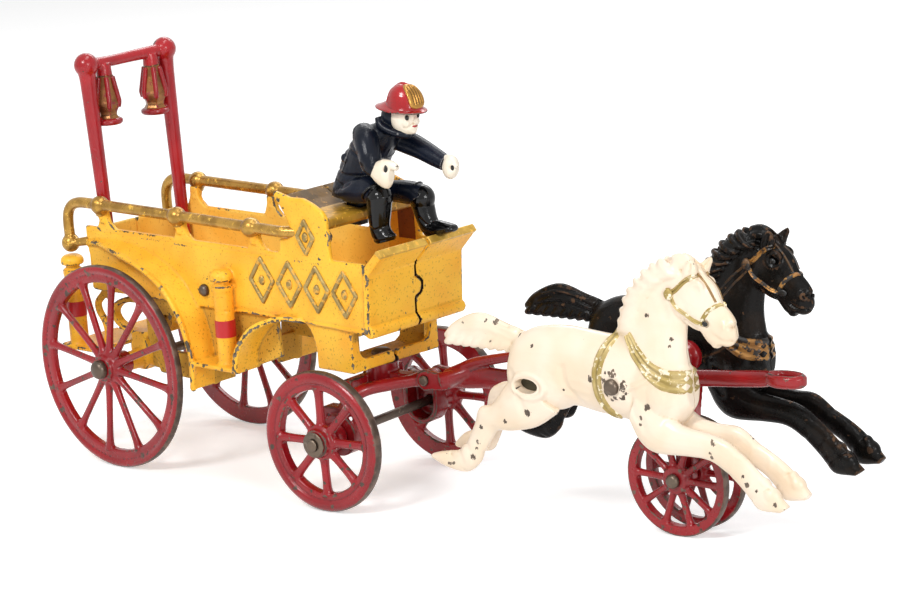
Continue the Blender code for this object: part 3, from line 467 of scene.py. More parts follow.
def cut_away(obj, cutters):
    """Takes the cutters' shapes out of a piece and the cutters out of the scene."""
    for cutter in cutters:
        hole = obj.modifiers.new("cut", "BOOLEAN")
        hole.operation = "DIFFERENCE"
        hole.solver = "EXACT"
        hole.object = cutter
    bpy.context.view_layer.update()
    bake_modifiers(obj)
    for cutter in cutters:
        bpy.data.objects.remove(cutter, do_unlink=True)


def mirrored_piece(obj, name, place, origin=(0, 0, 0)):
    """The same casting for the other side."""
    mesh = obj.data.copy()
    mesh.transform(Matrix.Diagonal((1.0, -1.0, 1.0, 1.0)))
    mesh.flip_normals()
    return new_object(name, mesh, place @ Matrix.Translation(Vector(origin) * MM))


def fit(obj, finish, body, slot, *nodes):
    """Gives a piece its finish, the body it rides on and the nodes it stands for; the slot argument is not
    used.
    """
    obj.data.materials.clear()
    obj.data.materials.append(finish)
    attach(obj, body)
    if nodes:
        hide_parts(*nodes)


# Finishes

def linear(code):
    """A colour written as sRGB hex, turned to the linear values that light adds up in."""
    out = []
    for k in (1, 3, 5):
        v = int(code[k:k + 2], 16) / 255
        out.append(v / 12.92 if v <= 0.04045 else ((v + 0.055) / 1.055) ** 2.4)
    return (*out, 1.0)


SMOOTH = {"interpolation_type": "SMOOTHSTEP"}


def add(tree, kind, sockets=None, **settings):
    """One node with its settings, values and links; a node given as a value stands for its first output."""
    node = tree.nodes.new("ShaderNode" + kind)
    for key, value in settings.items():
        setattr(node, key, value)
    for key, value in (sockets or {}).items():
        if isinstance(value, bpy.types.Node):
            value = value.outputs[0]
        if isinstance(value, bpy.types.NodeSocket):
            tree.links.new(value, node.inputs[key])
        else:
            node.inputs[key].default_value = value
    return node


def spots(tree, where, size_mm, detail=2.0, roughness=0.5, shift=0.0):
    """A pattern of blotches about size_mm across, moved aside by the shift so that no two patterns agree."""
    moved = add(tree, "VectorMath", {0: where, 1: (shift, shift * 0.7, shift * 1.3)}, operation="ADD")
    return add(tree, "TexNoise", {"Vector": moved, "Scale": 0.5 / (size_mm * MM), "Detail": detail,
                                  "Roughness": roughness})


def new_finish(name):
    """A material with its tree, its shader, the place on the object and how sharply the skin bends there."""
    made = bpy.data.materials.new(name)
    made.use_nodes = True
    tree = made.node_tree
    where = add(tree, "TexCoord").outputs["Object"]
    bend = add(tree, "Attribute", attribute_name="bend").outputs["Fac"]
    return made, tree, tree.nodes["Principled BSDF"], where, bend


def connect(tree, shader, colour, rough, height, metal):
    bump = add(tree, "Bump", {"Height": height, "Strength": 1.0, "Distance": MM})
    for socket, value in (("Base Color", colour), ("Roughness", rough.outputs[0]),
                          ("Normal", bump.outputs[0]), ("Metallic", metal.outputs[0])):
        tree.links.new(value, shader.inputs[socket])


def painted_iron(name, main, shade_colour, iron, roughness, sand_mm=0.45, sand_depth=0.03, edge_from=0.5,
                 edge_to=0.6, chip_level=0.7, chip_mm=2.2, hollow="#3A2A18", hollow_weight=0.5, coat=0.15,
                 pits=0.0, tread=None, second=None, bare_metal=0.5, specular=0.35, metal=0.0):
    """Enamel brushed over sand-cast iron: it pools and holds grime in hollows, darker there also as painted
    shade, wears off edges and chips to dark iron.
    """
    made, tree, shader, where, bend = new_finish(name)
    thick = add(tree, "MapRange", {0: spots(tree, where, 9.0), 1: 0.35, 2: 0.68}, **SMOOTH)
    colour = add(tree, "Mix", {0: thick, 6: linear(main), 7: linear(shade_colour)},
                 data_type="RGBA").outputs[2]
    if second:
        cloud = add(tree, "MapRange", {0: spots(tree, where, 5.0, 3.0, 0.6, 0.9), 1: 0.5, 2: 0.7, 4: 0.8},
                    **SMOOTH)
        colour = add(tree, "Mix", {0: cloud, 6: colour, 7: linear(second)}, data_type="RGBA").outputs[2]
    # Darker in hollows: pooled enamel and grime, and painted shade in creases and corners
    hollow_dirt_and_shade = add(tree, "MapRange", {0: bend, 1: -0.12, 2: -0.75}, **SMOOTH)
    hollow_dirt_and_shade = add(tree, "Math", {0: hollow_dirt_and_shade, 1: hollow_weight}, operation="MULTIPLY")
    colour = add(tree, "Mix", {0: hollow_dirt_and_shade, 6: colour, 7: linear(hollow)}, data_type="RGBA").outputs[2]
    if pits:
        specks = add(tree, "MapRange", {0: spots(tree, where, 0.45, 1.0, 0.5, 0.2), 1: 0.6, 2: 0.72},
                     **SMOOTH)
        specks = add(tree, "Math", {0: specks, 1: pits}, operation="MULTIPLY")
        colour = add(tree, "Mix", {0: specks, 6: colour, 7: linear(hollow)}, data_type="RGBA").outputs[2]

    # Bare along the edges, and in flakes where the coat is weak
    ragged = spots(tree, where, 1.1, 4.0, 0.7)
    patchy = spots(tree, where, 11.0, 2.0, 0.5, 0.4)
    worn = add(tree, "Math", {0: ragged, 1: 1.4, 2: -0.4}, operation="MULTIPLY_ADD")
    worn = add(tree, "Math", {0: bend, 1: worn}, operation="ADD")
    spared = add(tree, "MapRange", {0: patchy, 1: 0.35, 2: 0.65, 3: -0.65, 4: -0.2}, **SMOOTH)
    worn = add(tree, "Math", {0: worn, 1: spared}, operation="ADD")
    edges = add(tree, "MapRange", {0: worn, 1: edge_from, 2: edge_to}, **SMOOTH)
    flakes = spots(tree, where, chip_mm, 3.0, 0.6, 0.3)
    flakes = add(tree, "MapRange", {0: flakes, 1: chip_level, 2: chip_level + 0.03}, **SMOOTH)
    weak = add(tree, "MapRange", {0: patchy, 1: 0.42, 2: 0.5}, **SMOOTH)
    flakes = add(tree, "Math", {0: flakes, 1: weak}, operation="MULTIPLY")
    bare = add(tree, "Math", {0: edges, 1: flakes}, operation="MAXIMUM")

    # Bare at the knocks that are stored on the skin, with a streaky torn edge
    marked = add(tree, "Attribute", attribute_name="chips").outputs["Fac"]
    streak = add(tree, "VectorMath", {0: where, 1: (1.0, 1.0, 0.4)}, operation="MULTIPLY")
    torn = spots(tree, streak, 0.42, 2.0, 0.6, 0.7)
    torn = add(tree, "Math", {0: torn, 1: 2.6, 2: -1.3}, operation="MULTIPLY_ADD")
    near = add(tree, "Math", {0: marked, 1: 3.0}, operation="MULTIPLY")
    near = add(tree, "Math", {0: near, 1: 1.0}, operation="MINIMUM")
    torn = add(tree, "Math", {0: torn, 1: near}, operation="MULTIPLY")
    knocked = add(tree, "Math", {0: ragged, 1: 1.6, 2: -0.8}, operation="MULTIPLY_ADD")
    knocked = add(tree, "Math", {0: marked, 1: knocked}, operation="ADD")
    knocked = add(tree, "Math", {0: knocked, 1: torn}, operation="ADD")
    knocked = add(tree, "MapRange", {0: knocked, 1: 0.54, 2: 0.62}, **SMOOTH)
    bare = add(tree, "Math", {0: bare, 1: knocked}, operation="MAXIMUM")
    if tread:
        parts = add(tree, "SeparateXYZ", {0: where})
        flat = add(tree, "CombineXYZ", {0: parts.outputs[0], 2: parts.outputs[2]})
        reach = add(tree, "VectorMath", {0: flat}, operation="LENGTH").outputs["Value"]
        frayed = add(tree, "Math", {0: ragged, 1: 0.9 * MM}, operation="MULTIPLY")
        reach = add(tree, "Math", {0: reach, 1: frayed}, operation="ADD")
        rolled = add(tree, "MapRange", {0: reach, 1: tread * MM, 2: (tread + 0.35) * MM}, **SMOOTH)
        bare = add(tree, "Math", {0: bare, 1: rolled}, operation="MAXIMUM")

    # Iron tones where it is bare, gloss, and relief of sand, brush marks and lost paint
    rust = add(tree, "MapRange", {0: spots(tree, where, 2.5, 3.0, 0.6, 0.6), 1: 0.4, 2: 0.65}, **SMOOTH)
    rust = add(tree, "Mix", {0: rust, 6: linear(iron[0]), 7: linear(iron[1])}, data_type="RGBA").outputs[2]
    colour = add(tree, "Mix", {0: bare, 6: colour, 7: rust}, data_type="RGBA").outputs[2]
    gloss = spots(tree, where, 3.0, 3.0, 0.6, 0.5)
    gloss = add(tree, "Math", {0: gloss, 1: 0.22, 2: roughness - 0.11}, operation="MULTIPLY_ADD")
    dull = add(tree, "Math", {0: bare, 1: 0.55}, operation="MULTIPLY")
    rough = add(tree, "Math", {0: gloss, 1: dull}, operation="MAXIMUM")
    sand = spots(tree, where, sand_mm, 2.0, 0.6)
    sand = add(tree, "Math", {0: sand, 1: sand_depth * 2}, operation="MULTIPLY")
    brushed = spots(tree, where, 3.2, 2.0, 0.5, 0.8)
    brushed = add(tree, "Math", {0: brushed, 1: 0.12}, operation="MULTIPLY")
    height = add(tree, "Math", {0: sand, 1: brushed}, operation="ADD")
    lost = add(tree, "Math", {0: bare, 1: 0.07}, operation="MULTIPLY")
    height = add(tree, "Math", {0: height, 1: lost}, operation="SUBTRACT")
    shine = add(tree, "Math", {0: bare, 1: bare_metal}, operation="MULTIPLY")
    shine = add(tree, "Math", {0: shine, 1: metal}, operation="MAXIMUM")
    connect(tree, shader, colour, rough, height, shine)
    for socket, value in (("IOR", 1.5), ("Specular IOR Level", specular), ("Coat Weight", coat),
                          ("Coat Roughness", 0.12)):
        shader.inputs[socket].default_value = value
    return made


def gilt_over(name, main, shade_colour, under, roughness=0.38, worn=0.62, metallic=0.75):
    """Bronze powder paint: a soft metal gleam, rubbed through to what it was brushed on."""
    made, tree, shader, where, bend = new_finish(name)
    tone = add(tree, "MapRange", {0: spots(tree, where, 3.5, 3.0, 0.6), 1: 0.38, 2: 0.62}, **SMOOTH)
    colour = add(tree, "Mix", {0: tone, 6: linear(main), 7: linear(shade_colour)},
                 data_type="RGBA").outputs[2]
    rubbed = add(tree, "Math", {0: bend, 1: 0.06}, operation="MULTIPLY")
    rubbed = add(tree, "Math", {0: spots(tree, where, 1.3, 4.0, 0.65, 0.3), 1: rubbed}, operation="ADD")
    rubbed = add(tree, "MapRange", {0: rubbed, 1: worn, 2: worn + 0.05}, **SMOOTH)
    # Darker in hollows: grime, and painted shade in creases and corners
    hollow_dirt_and_shade = add(tree, "MapRange", {0: bend, 1: -0.05, 2: -0.6}, **SMOOTH)
    hollow_dirt_and_shade = add(tree, "Math", {0: hollow_dirt_and_shade, 1: 0.6}, operation="MULTIPLY")
    colour = add(tree, "Mix", {0: hollow_dirt_and_shade, 6: colour, 7: linear("#2E2412")}, data_type="RGBA").outputs[2]
    colour = add(tree, "Mix", {0: rubbed, 6: colour, 7: linear(under)}, data_type="RGBA").outputs[2]
    rough = spots(tree, where, 1.6, 3.0, 0.6, 0.5)
    rough = add(tree, "Math", {0: rough, 1: 0.3, 2: roughness - 0.15}, operation="MULTIPLY_ADD")
    powder = add(tree, "Math", {0: spots(tree, where, 0.5, 2.0, 0.6), 1: 0.07}, operation="MULTIPLY")
    brushed = add(tree, "Math", {0: spots(tree, where, 2.6, 2.0, 0.5), 1: 0.12}, operation="MULTIPLY")
    height = add(tree, "Math", {0: powder, 1: brushed}, operation="ADD")
    metal = add(tree, "Math", {0: 1.0, 1: rubbed}, operation="SUBTRACT")
    metal = add(tree, "Math", {0: metal, 1: metallic}, operation="MULTIPLY")
    connect(tree, shader, colour, rough, height, metal)
    return made


IRON = ("#4A3C34", "#6E5A4E")
GREY_IRON = ("#4A443C", "#7C7262")
NO_WEAR = {"edge_from": 2.0, "edge_to": 2.5, "chip_level": 0.95}

# Household yellow enamel, brushed on thin: an even warm face, orange where it pools and as painted shade in
# hollows, with fine dark sand pits
YELLOW = painted_iron("yellow_enamel_brushed_on_sand_cast_iron", "#FCC23C", "#F5AE2E", GREY_IRON, 0.4,
                      sand_depth=0.05, coat=0.08, specular=0.22, pits=0.45, hollow="#8E5A12",
                      hollow_weight=0.65, edge_from=0.5, edge_to=0.58, chip_level=0.7, chip_mm=1.5)
# The same enamel where the brush hardly reached: coarse sand skin shows through as olive brown, deepened as
# painted shade of the recesses under the side's overhang
INNER_THIN_AND_SHADE = painted_iron("yellow_enamel_starved_and_painted_shade_in_recesses", "#DCAA40", "#C49438", GREY_IRON, 0.6,
                     sand_mm=0.6, sand_depth=0.11, pits=0.8, hollow="#6A4A18", hollow_weight=0.7,
                     chip_level=0.68, coat=0.0, specular=0.2)
# The same enamel painted paler inside the open bed: painted light that makes up for the shade falling there
BED_PAINTED_LIGHT = painted_iron("yellow_enamel_painted_lighter_inside_the_bed", "#FFD668", "#FBC552", GREY_IRON, 0.45,
                          sand_depth=0.05, coat=0.04, specular=0.2, pits=0.3, hollow="#B87C22",
                          hollow_weight=0.4, chip_level=0.72)
# Painted shadow of the bench on the inside faces under the seat, in dark brown-orange
SEAT_SHADOW_PAINT = painted_iron("painted_shadow_under_the_seat", "#8E4A18", "#74380F", GREY_IRON, 0.5,
                      hollow="#3A1C08", pits=0.6, coat=0.0, specular=0.2)
# Bare dark iron in the crack between the two halves of the body, and painted shade of the crack
SEAM_IRON_AND_SHADE = painted_iron("dark_iron_and_painted_shade_in_the_seam", "#20160C", "#161009", IRON, 0.6, coat=0.0,
                         specular=0.1, **NO_WEAR)
# Red enamel over iron: deep and glossy, nearly black in corners from grime and painted shade, worn to brown
# iron on rims and treads
DEEP_RED = {"hollow": "#3A070B", "hollow_weight": 0.7, "coat": 0.2, "edge_from": 0.5, "edge_to": 0.58}
RED = painted_iron("red_enamel_brushed_on_sand_cast_iron", "#931319", "#7E1015", IRON, 0.25, chip_level=0.67,
                   **DEEP_RED)
REAR_RED = painted_iron("red_enamel_worn_off_rear_treads", "#99141D", "#841018", IRON, 0.26,
                        tread=REAR_R - 0.25, chip_level=0.655, chip_mm=3.0, **DEEP_RED)
FRONT_RED = painted_iron("red_enamel_worn_off_front_treads", "#99141D", "#841018", IRON, 0.26,
                         tread=FRONT_R - 0.25, chip_level=0.66, chip_mm=2.6, **DEEP_RED)
SMALL_RED = painted_iron("red_enamel_worn_off_small_treads", "#96141C", "#821017", IRON, 0.28,
                         tread=SMALL_R - 0.3, chip_level=0.65, chip_mm=2.0, **DEEP_RED)
# Cream enamel: soft gloss, tan in the folds from grime and painted shade, chipped in small dark flakes
CREAM = painted_iron("cream_enamel_brushed_on_cast_iron", "#EFDEC9", "#E7D2B6", ("#54483E", "#766759"), 0.34,
                     edge_from=1.2, edge_to=1.4, chip_level=0.74, chip_mm=1.3, hollow="#C9A878",
                     hollow_weight=0.45, coat=0.2)
# Black japan: warm black with a soft shine, rubbed brown on every high spot
BLACK = painted_iron("black_japan_rubbed_on_cast_iron", "#0B0A09", "#131110", ("#33251C", "#553F2E"), 0.27,
                     edge_from=0.3, edge_to=0.62, chip_level=0.67, chip_mm=1.4, hollow="#050505",
                     hollow_weight=0.8, coat=0.06, second="#201812", specular=0.1, sand_depth=0.06)
# Navy enamel of the coat, nearly black, rubbed grey along its sharpest folds and in pale lines on its raised
# seam ridges, which are also painted highlights
NAVY = painted_iron("navy_black_enamel_on_cast_iron", "#0E1524", "#0A0F1A", ("#6C6C6E", "#8C8A86"), 0.3,
                    edge_from=0.95, edge_to=1.3, chip_level=0.85, hollow="#030508", hollow_weight=0.7,
                    coat=0.06, specular=0.18, sand_depth=0.05)
# Gloss black enamel of the boots
BOOT = painted_iron("gloss_black_enamel_on_cast_iron", "#080809", "#060607", ("#2C2C30", "#3A3A3E"), 0.14,
                    edge_from=1.2, edge_to=1.5, chip_level=0.9, hollow="#030303", coat=0.2, specular=0.2)
# Bright red enamel of the helmet, the glossiest paint on the toy
HELMET_RED = painted_iron("bright_red_enamel_on_cast_iron", "#A90F16", "#960C12", IRON, 0.18,
                          edge_from=1.1, edge_to=1.4, chip_level=0.9, hollow="#4A0608", hollow_weight=0.7,
                          coat=0.35)
# Cream enamel of the face and hands
SKIN = painted_iron("cream_enamel_face_on_cast_iron", "#F2E8D6", "#EBDDC6", IRON, 0.35, edge_from=1.4,
                    edge_to=1.8, chip_level=0.95, hollow="#BFA480", hollow_weight=0.6, coat=0.2)
# Red band brushed round each extinguisher
BAND_RED = painted_iron("red_enamel_band", "#C8282A", "#B01D22", IRON, 0.4, edge_from=1.2, edge_to=1.5,
                        chip_level=0.64, chip_mm=1.2, hollow="#5A0C10")
# Bronze powder in varnish: old brass on the rails, olive where it has tarnished, rubbed through to the enamel
GILT = gilt_over("bronze_powder_gilt_over_yellow", "#B68C40", "#967030", "#E0B040", 0.3, 0.61, 0.7)
EDGE_GILT = gilt_over("bronze_powder_gilt_on_toe_board", "#D9AE4C", "#C0963C", "#EDB844", 0.38, 0.58, 0.45)
LOZENGE_GILT = gilt_over("bronze_powder_gilt_worn_grey", "#A48E58", "#8C7644", "#D6A03A", 0.4, 0.56, 0.6)
OLIVE = gilt_over("bronze_powder_gilt_gone_olive", "#6A4B18", "#4E3812", "#B07E26", 0.6, 0.6, 0.1)
BENCH_GOLD = gilt_over("bronze_powder_gilt_on_bench_top", "#C8962F", "#9A7226", "#EDB844", 0.42, 0.58, 0.25)
# Thick bright red enamel of the lamp arch, and the duller red of its lantern frames
ARCH_RED = painted_iron("red_enamel_thick_on_lamp_arch", "#A9161F", "#93121A", IRON, 0.24, edge_from=0.6,
                        edge_to=0.7, chip_level=0.69, hollow="#3A070B", hollow_weight=0.7, coat=0.2)
LAMP_RED = painted_iron("red_enamel_on_lantern_frames", "#98121A", "#820E14", IRON, 0.24, hollow="#3A070B",
                        coat=0.2, **NO_WEAR)
# Bronze powder on the lanterns and the helmet's shield, over red
LANTERN_GILT = gilt_over("bronze_powder_gilt_over_red", "#94653A", "#744A2C", "#7E181A", 0.3, 0.57)
SHIELD_GILT = gilt_over("bronze_powder_gilt_on_helmet", "#B98A42", "#A87A3A", "#8C5A24", 0.3, 0.66)
# Gold brushed on the harness, over cream on one horse and rubbed over black on the other
HARNESS_GOLD = gilt_over("harness_gold_over_cream", "#A08A4C", "#B9A470", "#EADFC4", 0.42, 0.57, 0.35)
HARNESS_TAN = gilt_over("tarnished_harness_line_over_cream", "#A08050", "#8A6A3E", "#D8C49A", 0.42, 0.6, 0.3)
HARNESS_BRONZE = gilt_over("harness_gold_rubbed_over_black", "#A97B40", "#83592C", "#1C1611", 0.38, 0.5, 0.5)
HARNESS_BROWN = gilt_over("harness_brown_rubbed_over_black", "#5E4328", "#42301F", "#17120E", 0.42, 0.52, 0.4)
# Axles, pins and rivets: dull oxidised steel, with a brighter metal where it is peened
STEEL = painted_iron("oxidised_steel_wire_peened", "#5C5148", "#6E6154", ("#8A7C6E", "#4A3F36"), 0.36,
                     edge_from=0.8, edge_to=1.2, chip_level=0.6, chip_mm=1.2, hollow="#2A231D", coat=0.0,
                     bare_metal=0.9, metal=0.85)
# Painted shade of the unlit iron inside the haunch holes, and the painted dots of the eyes and lips, whose
# black also stands as painted shade in the rein holes
HOLE_SHADE = painted_iron("painted_shade_inside_holes", "#46402C", "#2C281C", IRON, 0.6, coat=0.0, **NO_WEAR)
INK_AND_HOLE_SHADE = painted_iron("black_paint_dots_and_hole_shade", "#0E0D0D", "#0A0A0A", IRON, 0.35, coat=0.2, **NO_WEAR)
LIP = painted_iron("red_paint_lips", "#A81F26", "#98181F", IRON, 0.35, coat=0.2, **NO_WEAR)


# Wagon body

def side_panel():
    outline = [
        (-21.0, TOP_Z), (-21.0, 84.6), (-19.0, 79.0), (-18.6, 66.4),
        (50.0, 66.4), (96.5, 67.2), (99.0, 66.4), (131.4, 65.2), (133.8, 89.4),
        (132.2, 91.8), (115.4, 91.6), (115.0, 97.5), (116.3, 100.6), (114.6, 102.8),
        (114.9, 106.6), (112.6, 109.6), (108.0, 111.9), (103.0, 113.6), (96.0, 113.4), (88.6, 115.2),
        (87.6, 113.6), (90.8, 109.9), (93.6, 106.2), (95.2, 102.6), (95.2, 98.2),
        (89.6, 97.4), (89.0, 93.2), (87.8, TOP_Z),
    ]
    return prism(outline, "y", -SIDE_Y, -SIDE_Y + SIDE_T)


def ruled_band(inner, outer, thick, centre):
    """Sheet between two curves, with its thickness on the side of a centre given as (x, z)."""
    rings = []
    for a, b in zip(through(inner, 5), through(outer, 5)):
        ring = [tuple(a), tuple(b)]
        for p in (b, a):
            way = Vector((centre[0] - p[0], 0.0, centre[1] - p[2])).normalized()
            ring.append(tuple(Vector(p) + way * thick))
        rings.append(ring)
    return loft(rings)


def rear_fender():
    inner = [(-21.5, 86.4), (-12.0, 88.4), (4.6, 88.4), (19.6, 84.6), (32.5, 77.6), (40.5, 68.4),
             (45.4, 57.0), (46.6, 46.4), (45.4, 36.2)]
    outer = [(-21.5, 85.4), (-12.0, 86.6), (2.0, 84.8), (18.0, 81.0), (32.0, 74.0), (39.4, 64.4),
             (43.4, 54.4), (45.2, 46.4), (44.4, 35.8)]
    out_y = [-SIDE_Y - 0.2, -27.2, -30.4, -32.8, -LIP_Y, -LIP_Y, -LIP_Y, -LIP_Y, -LIP_Y]
    in_y = [-23.4] * 5 + [-23.0] + [-21.6] * 3
    band = ruled_band([(x, y, z) for (x, z), y in zip(inner, in_y)],
                      [(x, y, z) for (x, z), y in zip(outer, out_y)], 1.8, (0.0, REAR_R))
    lip = [(x, y + 0.4, z) for (x, z), y in zip(outer, out_y)]
    return [band, rod([(x, y, z - 0.4) for x, y, z in lip], 0.95, 10)]


FRONT_LIP = [(68.4, -LIP_Y, 45.6), (69.6, -LIP_Y, 52.6), (73.0, -LIP_Y, 58.2), (79.5, -LIP_Y, 64.2),
             (86.5, -31.6, 67.6), (92.0, -28.4, 68.4), (98.5, -SIDE_Y, 67.6)]


def front_fender():
    inner = [(x, -21.6, z + 0.6) for x, _, z in FRONT_LIP]
    x, y, z = FRONT_LIP[-1]
    outer = FRONT_LIP[:-1] + [(x, y - 0.2, z)]
    return [ruled_band(inner, outer, 1.8, (KING_PIN_X, FRONT_R)),
            rod([(x, y + 0.4, z - 0.4) for x, y, z in outer], 0.95, 10)]


def lower_side():
    """Inner wall below the side, drawn round its window."""
    y0, y1 = -WALL_Y, -WALL_Y + WALL_T
    left = [(8, 50), (14, 36.4), (19, 36.3), (19, 46), (17, 60), (17, 72), (8, 72)]
    under = [(18.6, 36.3), (37.4, 35.8), (37.4, 46.1), (18.6, 46.1)]
    over = [(16.6, 59.9), (38.4, 59.9), (38.4, 72), (16.6, 72)]
    right = [(37, 35.8), (45.2, 35.6), (46.6, 45.4), (69.0, 45.8), (83.4, 51.0), (82.6, 64.0), (84.0, 68.0),
             (84.0, 72.0), (38, 72), (38, 60), (37, 46)]
    return [prism(shape, "y", y0, y1) for shape in (left, under, over, right)]


def front_column():
    y = -WALL_Y
    plate = prism([(95.5, 71.0), (96.8, 67.0), (99.6, 64.0), (101.7, 60.4), (102.8, 55.5), (102.8, 49.4),
                   (121.6, 49.0), (121.3, 60.4), (121.9, 63.6), (124.0, 66.4), (126.5, 71.0)], "y", y,
                   y + WALL_T)
    fillets = [
        prism([(y + 1.8, 50.9), (y + 1.8, 54.6), (y + 3.0, 52.4), (y + 5.4, 50.9)], "x", 103.4, 120.0),
        prism([(119.7, 50.9), (119.7, 53.2), (118.9, 51.8), (117.0, 50.9)], "y", y + 0.3, -0.9),
        prism([(119.7, y + 1.8), (115.6, y + 1.8), (118.4, y + 3.2), (119.7, y + 6.2)], "z", 49.4, 66.0),
    ]
    corner = prism([(y + 0.1, 49.1), (y + 0.1, 67.2), (-19.2, 67.2), (-18.8, 57.4), (-17.6, 54.6),
                    (-14.8, 53.2), (-14.0, 49.1)],
                   "x", 119.5, 121.5)
    rim = box(119.5, 121.4, y + 0.2, -0.9, 49.3, 53.4)
    floor = [(103.2, y + 0.1), (121.3, y + 0.1), (121.3, -SEAM), (KING_PIN_X, -SEAM)]
    floor += [(x, min(z, -SEAM)) for x, z in reversed(arc(KING_PIN_X, 0, 2.3, 180, 360, 12))]
    floor += [(103.2, -SEAM)]
    return [plate, corner, rim, *fillets, prism(floor, "z", 49.1, 51.0)]


def leaf_spring():
    """Oval spring over the rear axle, with the block that holds the axle."""
    y = SPRING_Y
    rings = []
    for t in turns(48):
        x, z = 15.0 * math.cos(t), 56.4 + 6.8 * math.sin(t)
        way = Vector((math.cos(t) / 15.0, 0, math.sin(t) / 6.8)).normalized()
        rings.append([Vector((x, y - 2.0, z)) - way * 1.1, Vector((x, y - 2.0, z)) + way * 1.1,
                      Vector((x, y + 2.0, z)) + way * 1.1, Vector((x, y + 2.0, z)) - way * 1.1])
    block = [(-5.0, 38.0), (-2.6, 35.6), (2.6, 35.6), (5.0, 38.0), (5.0, 45.0), (3.2, 50.6), (-3.2, 50.6),
             (-5.0, 45.0)]
    return [
        loft(rings, True),
        box(-3.0, 3.0, y - 2.4, y + 2.4, 62.2, 67.2),
        prism(block, "y", y - 2.6, y + 2.6),
        turned_y([(3.7, -27.7), (3.9, -19.0)], 0, REAR_R, 24),
        prism([(3.6, 38.0), (16.0, 37.0), (16.0, 42.0), (4.4, 43.6)], "y", y - 2.8, y + 0.6),
        box(14.0, 18.5, -WALL_Y + 0.6, y + 0.4, 37.4, 41.6),
        rod([(-14.6, y, 56.4), (-17.0, y, 58.0), (-17.4, y, 62.0), (-15.0, y, 66.6)], 1.2, 10),
        rod([(14.6, y, 56.4), (16.8, y, 58.6), (16.0, y, 63.0), (13.0, y, 66.6)], 1.2, 10),
    ]


def rail_posts():
    """Flared webs that carry the rail, cast with the side; each foot reaches further ahead than behind."""
    web = [(-4.4, 89.8), (-4.1, 91.9), (-3.2, 93.6), (-2.3, 95.8), (-2.0, 99.6),
           (2.0, 99.6), (2.3, 96.4), (3.3, 94.4), (5.2, 92.8), (7.0, 91.7), (7.6, 89.8)]
    shapes = [prism([(x + a, z) for a, z in web], "y", -SIDE_Y - 0.1, -SIDE_Y + SIDE_T) for x in POST_X]
    return shapes + [rod([(x, -RAIL_Y + 0.3, 99.4), (x + 0.2, -RAIL_Y + 1.8, 94.4)], [2.0, 2.0], 14, 1)
                     for x in POST_X]


def rail_shapes():
    y = -RAIL_Y
    shapes = [rod([
        (-29.2, y, 84.8), (-29.6, y, 92.0), (-29.0, y, 96.6), (-26.8, y, 99.6), (-23.0, y, 101.2),
        (-16.0, y, 101.6), (12.0, y, 101.4), (40.0, y, 101.1), (88.0, y, 100.5), (92.4, y + 0.5, 100.4),
        (97.4, y + 3.0, 100.3),
    ], RAIL_R, 20, 8)]
    for x, z in zip(POST_X, (101.4, 101.1, 100.6)):
        shapes.append(ball((x, y, z), (3.9, 3.7, 3.7)))
        shapes.append(rod([(x, y + 0.1, z - 1.0), (x, y + 0.6, 97.4)], [2.5, 2.3], 14, 1))
    shapes.append(ball((-29.2, y, 84.6), 3.7))
    shapes.append(rod([(-28.0, y + 0.3, 84.6), (-19.6, -24.0, 86.0)], [1.6, 1.9], 12, 1))
    return shapes


def rear_step():
    scroll = [(-16.5, 67.4), (-19.6, 63.6), (-23.4, 60.0), (-23.2, 56.4), (-20.4, 52.4), (-19.2, 48.0),
              (-20.6, 42.7)]
    return [
        box(-36.3, -16.0, -29.5, -SEAM, 41.9, 43.5),
        rod([(-36.0, -29.0, 43.2), (-36.0, -SEAM - 0.5, 43.2)], 0.8, 10, 1),
        rod([(x, -19.5, z) for x, z in scroll], [1.8, 1.6, 1.5, 1.5, 1.5, 1.6, 2.0], 12),
    ]


def seat_shapes():
    """Half of the bench, drawn round the slot that the driver's tang drops through."""
    outline = [
        (87.8, 112.3), (89.4, 113.1), (95.0, 109.9), (100.6, 107.7), (112.6, 106.8), (114.3, 106.1),
        (114.5, 103.5), (113.4, 102.4), (111.4, 102.7), (110.4, 104.4), (100.0, 105.2), (88.4, 110.8),
    ]
    ahead = [(110.6, 106.9), *outline[4:9], (110.6, 104.4)]
    behind = [*outline[:4], (102.4, 107.5), (102.4, 105.1), *outline[10:]]
    return [prism(outline, "y", -SIDE_Y + 1.9, -3.0), prism(ahead, "y", -3.4, -SEAM),
            prism(behind, "y", -3.4, -SEAM)]


def dash_shapes():
    crack = -0.45
    wide_crack = -0.7
    panel = prism([(131.0, 65.6), (133.2, 65.6), (135.0, 90.4), (132.8, 90.4)], "y", -SIDE_Y + 0.1, crack)
    bead = rod([(132.9, -SIDE_Y + 0.3, 66.4), (132.9, crack, 66.4)], 2.4, 20, 1)
    board = prism([(131.0, 89.0), (134.2, 87.2), (142.7, 95.8), (141.0, 97.9), (139.6, 97.3)], "y",
                  -SIDE_Y - 0.3, wide_crack)
    corner = rod([(131.9, -SIDE_Y + 0.3, 66.0), (133.5, -SIDE_Y + 0.3, 88.6)], 1.15, 10, 1)
    return [panel, bead, board, corner]


def dash_tab(grow):
    """Round tab by which one half of the dash locates in the other, or its seat when it grows."""
    radius = TAB_R + grow
    outline = [(-1.4, TAB_Z - radius)] + arc(TAB_Y, TAB_Z, radius, -88, 88, 20) + [(-1.4, TAB_Z + radius)]
    lean = 1.8 / 24.8
    verts, faces = prism(outline, "x", 131.1 - grow * 4, 133.22 + grow * 4)
    return [(a + (c - 65.6) * lean, b, c) for a, b, c in verts], faces


